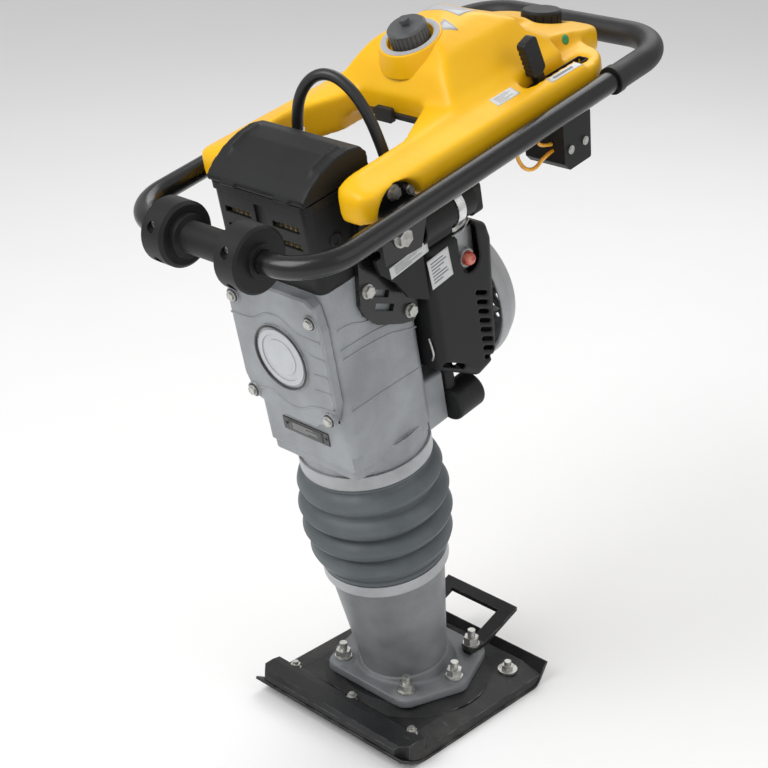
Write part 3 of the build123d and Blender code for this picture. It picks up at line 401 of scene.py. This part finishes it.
# %% Zinc, bare steel, chrome and spring steel
def metal(name, colour, tint, roughness=0.32, lines=None, relief=0.00006):
    """Bare or plated metal: cloudy colour, and fine lines where a tool has turned it."""
    f = Finish(name, roughness, 1.0)
    cloud = f.noise(160, 4, 0.6)
    grime = f.window(f.noise(60, 5), 0.52, 0.72)
    base = f.mix(f.window(cloud, 0.35, 0.65), colour, tint)
    base = f.mix(grime * 0.35, base, rgb(0.10, 0.09, 0.08))
    f.colour(base)
    f.roughness(roughness + 0.2 * cloud + 0.2 * grime)
    f.bump(f.noise(900, 3, 0.6, lines), relief, 0.0006)
    return f.material


zinc = metal("zinc_plated_fasteners", rgb(0.46, 0.45, 0.42), rgb(0.60, 0.60, 0.58))
bare_steel = metal("machined_steel", rgb(0.42, 0.42, 0.42), rgb(0.56, 0.56, 0.56), 0.26, (0.4, 3.0, 0.4))
spring_steel = metal("oiled_spring_steel", rgb(0.16, 0.155, 0.15), rgb(0.26, 0.25, 0.24), 0.3)
bright_band = metal("bright_steel_band", rgb(0.70, 0.70, 0.70), rgb(0.85, 0.85, 0.85), 0.14, (0.3, 4.0, 0.3))
lining = metal("sintered_clutch_lining", rgb(0.10, 0.09, 0.08), rgb(0.19, 0.16, 0.14), 0.6)
print("metals:", zinc.name, bare_steel.name)


# %% [markdown]
# ## Small finishes
# The paper filter, the clear primer dome, the orange fuel line, the white plug insulator and the printed
# labels are small, but the eye stops on them. The labels carry plain bars in place of words.

# %% Paper, primer dome, fuel line, insulator and labels
def paper():
    f = Finish("pleated_filter_paper", 0.9)
    fibre = f.noise(700, 5, 0.7, (1.0, 0.2, 1.0))
    f.colour(f.mix(f.window(fibre, 0.35, 0.65), rgb(0.62, 0.50, 0.27), rgb(0.80, 0.70, 0.45)))
    f.bump(fibre, 0.0003)
    return f.material


def clear_rubber(name, deep, pale, coat=0.6):
    """A see-through moulding, shown by a deep colour under a clear coat."""
    f = Finish(name, 0.18, 0.0, coat)
    swirl = f.noise(120, 3)
    f.colour(f.mix(f.window(swirl, 0.35, 0.7), deep, pale))
    f.roughness(0.12 + 0.2 * swirl)
    f.bump(f.noise(400, 2), 0.00008)
    return f.material


def glazed():
    f = Finish("white_glazed_insulator", 0.15, 0.0, 0.5)
    f.colour(f.mix(f.window(f.noise(90, 3), 0.4, 0.7), rgb(0.83, 0.82, 0.78), rgb(0.70, 0.68, 0.62)))
    f.bump(f.noise(500, 2), 0.00003)
    return f.material


def label(name, ground, ink, rows=0.0, roughness=0.35):
    """Printed foil. Where rows is set, its UV map carries that many ink bars of uneven length."""
    f = Finish(name, roughness, 0.0, 0.3)
    worn = tuple(c * 0.75 for c in ground[:3]) + (1,)
    base = f.mix(f.window(f.noise(70, 4), 0.4, 0.75) * 0.35, ground, worn)
    if rows:
        uv = f.node("ShaderNodeUVMap", {"uv_map": "face"})
        across = f.node("ShaderNodeSeparateXYZ", {}, {0: uv}, out="X")
        down = f.node("ShaderNodeSeparateXYZ", {}, {0: uv}, out="Y")
        scaled = down * rows
        bar = f.bars(scaled)
        ends = f.node("ShaderNodeTexWhiteNoise", {"noise_dimensions": "1D"}, {"W": f.whole(scaled)})
        inside = (across > 0.12) * (across < 0.5 + 0.38 * ends) * (down > 0.12) * (down < 0.88)
        base = f.mix(bar * inside * 0.85, base, ink)
    f.colour(base)
    f.roughness(roughness + 0.15 * f.noise(200, 2))
    f.bump(f.noise(260, 3), 0.00004)
    return f.material


filter_paper = paper()
primer_red = clear_rubber("red_primer_dome", rgb(0.42, 0.02, 0.01), rgb(0.85, 0.28, 0.20))
line_orange = clear_rubber("orange_fuel_line", rgb(0.78, 0.30, 0.01), rgb(0.95, 0.52, 0.05), 0.3)
insulator = glazed()
grey_label = label("grey_foil_label", rgb(0.45, 0.46, 0.48), rgb(0.08, 0.08, 0.08))
bar_label = label("silver_label_with_bars", rgb(0.62, 0.63, 0.64), rgb(0.05, 0.05, 0.05), 9.0)
dark_plate = label("dark_data_plate", rgb(0.03, 0.03, 0.032), rgb(0.34, 0.34, 0.34), 7.0, 0.3)
green_label = label("green_round_label", rgb(0.02, 0.30, 0.09), rgb(0.5, 0.8, 0.5))
badge_silver = label("silver_badge_foil", rgb(0.52, 0.54, 0.56), rgb(0.1, 0.1, 0.1), 0.0, 0.25)
ring_black = label("dark_badge_ring", rgb(0.03, 0.03, 0.032), rgb(0.1, 0.1, 0.1), 0.0, 0.3)
strip_label = label("pale_strip_label", rgb(0.60, 0.61, 0.62), rgb(0.03, 0.03, 0.03), 1.0)
print("labels:", grey_label.name, bar_label.name)

# %% [markdown]
# ## Helpers that make pieces
# Every new piece starts in a bmesh, is shaped by operators in leaning millimetres, and is then moved into
# world metres by one matrix. Doing the move in the mesh leaves the object itself unturned at the origin.

# %% From a bmesh to a piece on a body
def settle(bm, name, body, finish, matrix=LEAN_MM, smooth=35.0):
    """Turn a bmesh into an object that rides on a CAD body."""
    bm.transform(matrix)
    bmesh.ops.remove_doubles(bm, verts=bm.verts, dist=1e-6)
    bmesh.ops.recalc_face_normals(bm, faces=bm.faces)
    mesh = bpy.data.meshes.new(name)
    bm.to_mesh(mesh)
    bm.free()
    mesh.materials.append(finish)
    piece = bpy.data.objects.new(name, mesh)
    bpy.context.scene.collection.objects.link(piece)
    mesh.shade_smooth()
    mesh.set_sharp_from_angle(angle=radians(smooth))
    if body:
        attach(piece, body)
    return piece


def bevelled(bm, edges, width, segments=2):
    """Round some edges."""
    bmesh.ops.bevel(bm, geom=edges, offset=width, offset_type="OFFSET", affect="EDGES", segments=segments,
                    profile=0.5, material=-1)


def spun(outline, place=Matrix(), steps=48):
    """Turn (radius, height) points about the Z axis of a place."""
    bm = bmesh.new()
    verts = [bm.verts.new((r, 0, h)) for r, h in outline]
    edges = [bm.edges.new(pair) for pair in zip(verts, verts[1:])]
    bmesh.ops.spin(bm, geom=verts + edges, cent=(0, 0, 0), axis=(0, 0, 1), angle=2 * pi, steps=steps,
                   use_merge=True)
    bm.transform(place)
    return bm


def ring_points(centre_r, centre_h, thick, count=12):
    """The outline of a round ring, for spun."""
    return [(centre_r + thick * cos(2 * pi * i / count), centre_h + thick * sin(2 * pi * i / count))
            for i in range(count + 1)]


def block(size, place, width=0.6, segments=2):
    """A box of a size, with rounded edges, at a place."""
    bm = bmesh.new()
    bmesh.ops.create_cube(bm, size=1.0)
    bmesh.ops.scale(bm, vec=size, verts=bm.verts)
    bevelled(bm, bm.edges[:], width, segments)
    bm.transform(place)
    return bm


def merged(parts):
    """Several bmeshes as one."""
    whole = bmesh.new()
    for bm in parts:
        scrap = bpy.data.meshes.new("scrap")
        bm.to_mesh(scrap)
        bm.free()
        whole.from_mesh(scrap)
        bpy.data.meshes.remove(scrap)
    return whole


def turned_to(place, direction):
    """A matrix at a place whose Z axis points along a direction."""
    return Matrix.Translation(place) @ Vector(direction).to_track_quat("Z", "Y").to_matrix().to_4x4()


def with_modifiers(piece):
    """Fix a piece's modifiers into its mesh."""
    view = bpy.context.evaluated_depsgraph_get()
    mesh = bpy.data.meshes.new_from_object(piece.evaluated_get(view))
    piece.modifiers.clear()
    piece.data = mesh
    return piece


print("the modelling helpers are ready")

# %% [markdown]
# ## Moulded pieces from their CAD shapes
# The tank, the filter box and the engine cover come out of moulds, so every edge is soft, even where two
# faces meet at a slant. Bevelling a boolean-heavy CAD mesh edge by edge breaks at its many corners. A voxel
# remesh followed by a few rounds of smoothing softens them all alike, as a mould does, and the piece still
# fills the place that CAD gives it.

# %% Soft mouldings
def soft_moulding(node, name, body, finish, voxel, rounds):
    """A copy of a CAD node, remeshed and smoothed, that stands for the node."""
    mesh = frame["nodes"][node].data.copy()
    bm = bmesh.new()
    bm.from_mesh(mesh)
    bmesh.ops.remove_doubles(bm, verts=bm.verts, dist=1e-5)
    bm.to_mesh(mesh)
    bm.free()
    piece = bpy.data.objects.new(name, mesh)
    bpy.context.scene.collection.objects.link(piece)
    remesh = piece.modifiers.new("even", "REMESH")
    remesh.mode = "VOXEL"
    remesh.voxel_size = voxel
    with_modifiers(piece)
    bm = bmesh.new()
    bm.from_mesh(piece.data)
    for _ in range(rounds):
        bmesh.ops.smooth_vert(bm, verts=bm.verts, factor=0.5, use_axis_x=True, use_axis_y=True,
                              use_axis_z=True)
    bmesh.ops.recalc_face_normals(bm, faces=bm.faces)
    bm.to_mesh(piece.data)
    bm.free()
    piece.data.materials.clear()
    piece.data.materials.append(finish)
    piece.data.shade_smooth()
    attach(piece, body)
    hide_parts(node)
    print(name, "has", len(piece.data.polygons), "faces")
    return piece


tank = soft_moulding("fuel_tank", "tank_shell", "handle", tank_yellow, 0.0030, 16)
soft_moulding("filter_lid", "filter_lid_shell", "lid", cover_black, 0.0018, 4)
soft_moulding("engine_cover", "engine_shroud", "machine", cover_black, 0.0016, 4)
soft_moulding("fan_cover", "fan_dome", "machine", fan_paint, 0.0020, 5)
soft_moulding("throttle_lever", "throttle_paddle", "throttle", lever_black, 0.0011, 3)
soft_moulding("foot_flange", "flange_casting", "foot", flange_paint, 0.0020, 5)

# %% [markdown]
# ## The bellows
# The rubber boot has four fat convolutions and a flat cuff at each end. It is a body of revolution, so one
# outline is drawn from arcs and spun. The real boot stretches with the stroke; here the finished mesh is one
# fixed piece that rides on no body.

# %% Bellows outline and spin
bellows_low, bellows_high = 232.0, 391.0
CUFF_R, CUFF = 84.0, 9.0
WALL = 4.0
FOLDS = [96.0, 100.5, 100.5, 96.0]


def bellows_outline():
    """(radius, height) up the outside and back down the inside."""
    pitch = (bellows_high - bellows_low - 2 * CUFF) / len(FOLDS)
    outline = [(CUFF_R + 0.6, bellows_low + 0.6), (CUFF_R + 1.6, bellows_low + 2.0),
               (CUFF_R + 1.4, bellows_low + 6), (CUFF_R - 0.2, bellows_low + 7.5)]
    for index, radius in enumerate(FOLDS):
        base = bellows_low + CUFF + index * pitch
        for step in range(1, 24):
            part = step / 24
            swell = max(0.0, sin(pi * part)) ** 0.62
            lip = 0.8 * max(0.0, 1 - abs(part - 0.5) * 14)
            outline.append((CUFF_R - 3 + (radius - CUFF_R + 3 - 0.8) * swell + lip, base + pitch * part))
    outline += [(CUFF_R - 0.2, bellows_high - 7.5), (CUFF_R + 1.4, bellows_high - 6),
                (CUFF_R + 1.6, bellows_high - 2.0), (CUFF_R + 0.6, bellows_high - 0.6)]
    inner = [(r - WALL, w) for r, w in outline]
    return outline + inner[::-1] + outline[:1]


bellows = settle(spun(bellows_outline(), steps=96), "rubber_bellows", None, bellows_rubber,
                 smooth=60.0)
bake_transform(bellows)
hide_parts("bellows")
print("bellows faces:", len(bellows.data.polygons))


# %% [markdown]
# ## Hoses and other round lines
# A hose is one smooth line with a round section, and so are a bent wire and a cast bead. The breather hose
# leaves a clip on the filter shelf, arches over the engine and drops into the duct. The route is a handful of
# points with a NURBS curve drawn near them, as a real hose cuts its corners. A mesh tube would need its rings
# turned by hand along the route.

# %% Breather hose and fuel line
HOSE_ROUTE = [
    (-60, 38, 719.5), (-58, 35, 770), (-57, 36, 822), (-50, 43, 862), (-32, 54, 885), (-8, 62, 888),
    (16, 66, 872), (37, 66, 845), (52, 64, 812), (62, 63, 776), (72, 66, 739),
]
FUEL_ROUTE = [
    (140, 262, 732), (140, 244, 731), (139, 228, 722), (137, 212, 728), (134, 204, 744), (131, 206, 762),
    (130, 212, 777),
]


def round_lines(routes, radius, name, body, finish, sides=4, steps=8, node=None):
    """Round NURBS lines as one piece, which may stand for a CAD node."""
    curve = bpy.data.curves.new(name, "CURVE")
    curve.dimensions = "3D"
    curve.bevel_depth = radius * MM
    curve.bevel_resolution = sides
    curve.resolution_u = steps
    curve.use_fill_caps = True
    for route in routes:
        line = curve.splines.new("NURBS")
        line.points.add(len(route) - 1)
        for point, place in zip(line.points, route):
            point.co = lean(*place).to_4d()
        line.order_u = 3
        line.use_endpoint_u = True
    curve.materials.append(finish)
    piece = bpy.data.objects.new(name, curve)
    bpy.context.scene.collection.objects.link(piece)
    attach(piece, body)
    if node:
        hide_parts(node)
    return piece


HOSE_R, LINE_R = 7.0, 2.5
round_lines([HOSE_ROUTE], HOSE_R, "breather_hose_rubber", "machine", hose_rubber, 8, 10,
            "breather_hose")
round_lines([FUEL_ROUTE], LINE_R, "orange_fuel_line", "handle", line_orange, 8, 10, "oil_line")
print("hoses made")

# %% [markdown]
# ## Stickers on curved plastic
# A sticker is cut flat and then laid on a curved tank. It could be painted into the tank's material, but a
# real sheet keeps a crisp edge. A grid is dropped on the surface by a shrinkwrap modifier, a hair above it,
# and the modifier is then fixed into the mesh. Round ones start as a spun disc.

# %% Flat sheets and how they are laid down
START_ABOVE = 0.010
FILM = 0.0004
RIGHT, BACKWARD, FORWARD = (1, 0, 0), (0, 1, 0), (0, -1, 0)
ALONG_HANDLE = (0, 66, 5)


def sheet(width, height, steps=12):
    """A rectangle with a UV map, lying flat around the origin."""
    bm = bmesh.new()
    bm.loops.layers.uv.new("face")
    bmesh.ops.create_grid(bm, x_segments=steps, y_segments=steps, size=0.5, calc_uvs=True)
    bmesh.ops.scale(bm, vec=(width, height, 1), verts=bm.verts)
    return bm


def lay(bm, place, name, body, finish, target=None):
    """Put a flat sheet at a place, drop it on a target along its own Z axis and thicken it."""
    piece = settle(bm, name, body, finish, matrix=Matrix.Scale(MM, 4), smooth=60)
    world = LEAN_MM @ place @ Matrix.Scale(1 / MM, 4)
    if target:
        world = world @ Matrix.Translation((0, 0, START_ABOVE))
        piece.matrix_world = world
        bpy.context.view_layer.update()
        wrap = piece.modifiers.new("lay", "SHRINKWRAP")
        wrap.target = target
        wrap.wrap_method = "PROJECT"
        wrap.use_project_z = True
        wrap.use_negative_direction = True
        wrap.project_limit = 2 * START_ABOVE
        wrap.offset = FILM
        with_modifiers(piece)
    piece.data.transform(world)
    piece.matrix_world = Matrix()
    thick = piece.modifiers.new("thickness", "SOLIDIFY")
    thick.thickness = FILM
    with_modifiers(piece)
    return piece


def facing(place, normal, along):
    """A matrix at a place with Z along a normal and X as near as possible to a direction."""
    z = Vector(normal).normalized()
    x = (Vector(along) - z * z.dot(Vector(along))).normalized()
    return Matrix.Translation(place) @ Matrix((x, z.cross(x), z)).transposed().to_4x4()


print("stickers can be laid")

# %% Stickers on the tank
OIL_CAP_PLACE = facing((0, 188, 884), (0, -0.242, 0.97), RIGHT)
neck = spun([(28.7, -14), (28.7, 0.2), (29.6, 1.2), (37.6, 1.2), (39.2, 0.4), (41, -3), (47, -26)],
            OIL_CAP_PLACE, 72)
settle(neck, "oil_neck_boss", "handle", tank_yellow)
ring = spun([(30, 1.3), (30, 1.7), (37.2, 1.7), (37.2, 1.3), (30, 1.3)], OIL_CAP_PLACE, 72)
settle(ring, "oil_cap_ring_label", "handle", grey_label)
corner = bmesh.new()
bmesh.ops.create_circle(corner, cap_ends=True, segments=3, radius=17)
bmesh.ops.subdivide_edges(corner, edges=corner.edges, cuts=4, use_grid_fill=True)
lay(corner, facing((27, 222, 888), (0.35, -0.1, 0.93), (0.7, 0.7, 0)), "oil_cap_corner_label", "handle",
    grey_label, tank)
TANK_LABELS = [
    ("hump_label", 62, 34, (-6, 268, 892), (0, 0.16, 0.99), RIGHT, grey_label),
    ("lever_label", 62, 9, (131.5, 309, 812.5), (0.25, 0.03, 0.97), (0, 1, -0.02), strip_label),
    ("side_label", 40, 15, (118, 212, 820), (0.35, 0, 0.94), BACKWARD, bar_label),
]
for name, width, height, middle, normal, along, finish in TANK_LABELS:
    lay(sheet(width, height), facing(middle, normal, along), name, "handle", finish, tank)
disc = spun([(0.01, 0), (3, 0), (6.3, 0)], steps=40)
lay(disc, facing((79, 374, 822), (1, 0, 0.08), BACKWARD), "round_green_label", "handle", green_label,
    tank)

# %% The dark guide that lines the lever's slot
guides = [block((1.0, 116, 40), Matrix.Translation((u, 308, 788)), 0.3) for u in (108.0, 122.0)]
guides += [block((13.4, 1.0, 40), Matrix.Translation((115, v, 788)), 0.3) for v in (250, 366)]
settle(merged(guides), "lever_slot_guide", "handle", lever_black)
print("slot lined")

# %% Labels on the duct panel, the nameplate and the front
lay(sheet(66, 15), facing((104.2, 31, 687), RIGHT, ALONG_HANDLE), "duct_bar_label", "machine", bar_label)
lay(sheet(38, 40), facing((105.3, 78, 652), RIGHT, ALONG_HANDLE), "cover_square_label", "machine", bar_label)
lay(sheet(62, 14), facing((0, -89.9, 477), FORWARD, RIGHT), "nameplate_print", "machine", dark_plate)
print("machine labels laid")

# %% [markdown]
# ## Cast beads
# Thin raised lines run over the front cover and along the case. They are cast ribs, half sunk in the wall.
# A NURBS line with a small round section, centred on the wall, leaves just that half bead standing out, and
# its control points read like the pattern maker's sketch.

# %% Beads on the front cover and on both sides of the case
COVER_FACE, BEAD_SUNK = -102.0, 0.3
CASE_SIDE = 79.8
FRONT_BEADS = [
    [(-78, 634), (-56, 634), (-38, 636), (-24, 645), (-10, 652), (12, 653), (26, 643), (40, 635), (76, 636)],
    [(44, 616), (60, 610), (77, 613)],
    [(54, 586), (77, 588)],
    [(50, 563), (77, 565)],
    [(-72, 524), (-56, 530), (-41, 537), (-26, 533), (-10, 524), (8, 522), (24, 527), (43, 538), (77, 540)],
]
SIDE_BEADS = [
    [(-76, 527), (-30, 526), (41, 522)],
    [(-76, 640), (-57, 641), (-32, 627), (-4, 625)],
    [(-76, 613), (-6, 611), (19, 598), (40, 596)],
    [(-76, 600), (-4, 597), (28, 584), (47, 579)],
]

round_lines([[(u, COVER_FACE + BEAD_SUNK, w) for u, w in line] for line in FRONT_BEADS], 1.5,
            "front_cover_beads", "machine", case_paint)
for side, word in ((1, "near"), (-1, "far")):
    round_lines([[(side * CASE_SIDE, v, w) for v, w in line] for line in SIDE_BEADS], 1.3,
                "case_beads_" + word, "machine", case_paint)
print("beads cast")

# %% Ring round the badge and painted shade rings round the cover screws
BADGE_PLACE, BADGE_RING_R = (0, -104.2, 593), 42.6
COVER_SCREWS = [(-66, 525), (66, 525), (-66, 661), (66, 661)]
badge_ring = spun(ring_points(BADGE_RING_R, 0, 1.5), facing(BADGE_PLACE, FORWARD, RIGHT), 72)
settle(badge_ring, "badge_ring", "machine", ring_black)
# painted shade: dark flat rings stand in for the shade inside the counterbores round the cover screws
recess_shade_rings = [spun(ring_points(8.0, 0, 0.7, 8), facing((u, -104.0, w), FORWARD, RIGHT), 40)
         for u, w in COVER_SCREWS]
settle(merged(recess_shade_rings), "painted_shade_screw_rings", "machine", ring_black)
print("rings made")

# %% [markdown]
# ## Weld bead, pipe clip and small linkage
# A weld is not a smooth ring: the welder stops and starts, so it has ripples. Spinning a round outline and
# then moving each ring of vertices in and out would need hand-made lists. At this size the ring stays plain,
# and the uneven roughness of its steel finish stands for the ripples.

# %% Weld bead at the leg's foot and the dark line under the bellows
WELD_R, WELD_W, BAND_LINE_W = 46.2, 52.0, 219.0
weld = spun(ring_points(WELD_R, WELD_W, 3.4), steps=96)
settle(weld, "leg_weld", "foot", bare_steel)
line = spun(ring_points(CUFF_R, BAND_LINE_W, 1.5, 8), steps=96)
settle(line, "bellows_band_line", "foot", ring_black)
print("leg rings made")

# %% Linkage beside the duct and the wire clip on the cover
rod_outline = [(0.01, 0), (2.2, 0), (2.6, 0.6), (2.6, 22), (2.2, 22.6), (0.01, 22.6)]
rod = [spun(rod_outline, turned_to((96, 118, 681), (0, 1, 0.1))),
       block((3, 12, 7), Matrix.Translation((97, 120, 684)), 0.6),
       block((3, 9, 5), Matrix.Translation((97, 138, 684)), 0.6)]
settle(merged(rod), "choke_linkage", "machine", zinc)
CHOKE_WIRE = [(100, 110, 678), (101, 122, 675), (101, 134, 680), (99, 144, 686)]
WIRE_CLIP = [(90, 56, 560), (95, 54.4, 548), (96, 54.4, 536), (90, 56, 528)]
RETURN_LOOP = [(140, 261, 741), (139, 248, 744), (137, 239, 751), (136, 243, 760), (138, 261, 761)]
round_lines([CHOKE_WIRE], 0.9, "choke_wire", "machine", bare_steel)
round_lines([WIRE_CLIP], 1.4, "cover_wire_clip", "machine", zinc)
round_lines([RETURN_LOOP], 2.3, "fuel_return_loop", "handle", line_orange)
print("linkage made")

# %% [markdown]
# ## Starter rope
# When the grip is pulled, rope follows it out of the fan cover. A short spun rope with many rings stands
# between the machine and the grip, as one fixed piece that rides on no body.

# %% Rope between the fan cover and the grip
ROPE_START, ROPE_LONG = (-58, 206, 594), 30
rope_outline = [(0.01, 0)] + [(2.3, step) for step in range(ROPE_LONG + 1)] + [(0.01, ROPE_LONG)]
rope_mesh = spun(rope_outline, facing(ROPE_START, BACKWARD, RIGHT), 16)
rope = settle(rope_mesh, "starter_rope", None, hose_rubber)
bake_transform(rope)
print("rope faces:", len(rope.data.polygons))

# %% Boss on the filter box
boss = spun([(0.01, 0), (4.5, 0), (5, 1.2), (8.5, 1.6), (9.5, 1.2), (10, -1)],
            facing((79.2, -52, 748), RIGHT, BACKWARD), 40)
settle(boss, "filter_box_boss", "machine", cover_black)
print("boss made")

# %% [markdown]
# ## Finishes for the carried CAD pieces
# Every CAD piece that stays visible gets a real finish through its material slot. A table of piece names by
# finish is short, and the loop stops if a name is wrong.

# %% Assign the finishes
CARRIED = {
    shoe_black: ["sole_plate", "shoe_body", "lifting_loop"],
    zinc: ["shoe_bolts", "flange_nuts", "cover_screws", "bracket_bolts", "frame_bolts", "control_screws",
           "roller_screws"],
    leg_paint: ["leg_tube"],
    band_paint: ["lower_bellows_band", "neck_ring"],
    spring_steel: ["lower_spring", "upper_spring"],
    bare_steel: ["plunger", "guide_tube", "gear_bearings", "crank_gear", "crank_pin", "connecting_rod",
                 "clutch_drum", "engine_crankshaft"],
    case_paint: ["gearcase", "front_cover"],
    badge_silver: ["front_badge"],
    dark_plate: ["nameplate"],
    frame_black: ["side_brackets", "handle_tube", "handle_plates"],
    mount_rubber: ["rubber_mounts", "tank_strap"],
    raw_casting: ["engine_block", "cylinder", "carburettor", "flywheel_fan"],
    insulator: ["spark_plug"],
    cover_black: ["intake_duct", "air_filter_housing", "recoil_pulley", "starter_grip", "fuel_cap",
                  "transport_roller", "control_box"],
    bright_band: ["clamp_bands"],
    muffler_black: ["muffler"],
    filter_paper: ["filter_element"],
    grip_rubber: ["grip_sleeve"],
    cap_grey: ["oil_cap"],
    lining: ["clutch_shoes"],
    primer_red: ["primer_bulb"],
}
for finish, nodes in CARRIED.items():
    for node in nodes:
        mesh = frame["nodes"][node].data
        mesh.materials.clear()
        mesh.materials.append(finish)
print("finished", sum(len(nodes) for nodes in CARRIED.values()), "CAD pieces")

# %% [markdown]
# ## Floor and light
# A pale floor and large soft lamps show paint and rubber honestly: big lamps give long, gentle highlights on
# gloss tubes. One key lamp stands high on the left, a weaker one fills from the right, and one behind draws
# the rims.

# %% Floor
floor_bm = bmesh.new()
bmesh.ops.create_grid(floor_bm, x_segments=1, y_segments=1, size=6.0)
floor_mesh = bpy.data.meshes.new("floor")
floor_bm.to_mesh(floor_mesh)
floor_bm.free()
floor = bpy.data.objects.new("floor", floor_mesh)
bpy.context.scene.collection.objects.link(floor)
floor_finish = Finish("pale_floor", 0.75)
floor_finish.colour(floor_finish.mix(floor_finish.noise(3, 2), rgb(0.93, 0.93, 0.93), rgb(0.96, 0.96, 0.96)))
floor_mesh.materials.append(floor_finish.material)


# %% Lamps and sky
def lamp(name, turn, rise, distance, size, watts):
    """A square area lamp that looks at the machine."""
    data = bpy.data.lights.new(name, "AREA")
    data.size = size
    data.energy = watts
    piece = bpy.data.objects.new(name, data)
    bpy.context.scene.collection.objects.link(piece)
    toward = backwards(turn, rise)
    aim = Vector((0, 0, 0.5))
    piece.matrix_world = turned_to(aim + toward * distance, toward)
    return piece


lamp("key", -12, 46, 3.2, 2.0, 62)
lamp("fill", 100, 30, 3.4, 2.6, 13)
lamp("rim", 205, 48, 3.2, 2.0, 30)
world = bpy.data.worlds.new("studio")
world.use_nodes = True
world.node_tree.nodes["Background"].inputs["Color"].default_value = rgb(1.0, 1.0, 1.0)
world.node_tree.nodes["Background"].inputs["Strength"].default_value = 0.56
bpy.context.scene.world = world
bpy.context.scene.view_settings.view_transform = "Standard"
print("lamps:", [light.name for light in bpy.data.lights])
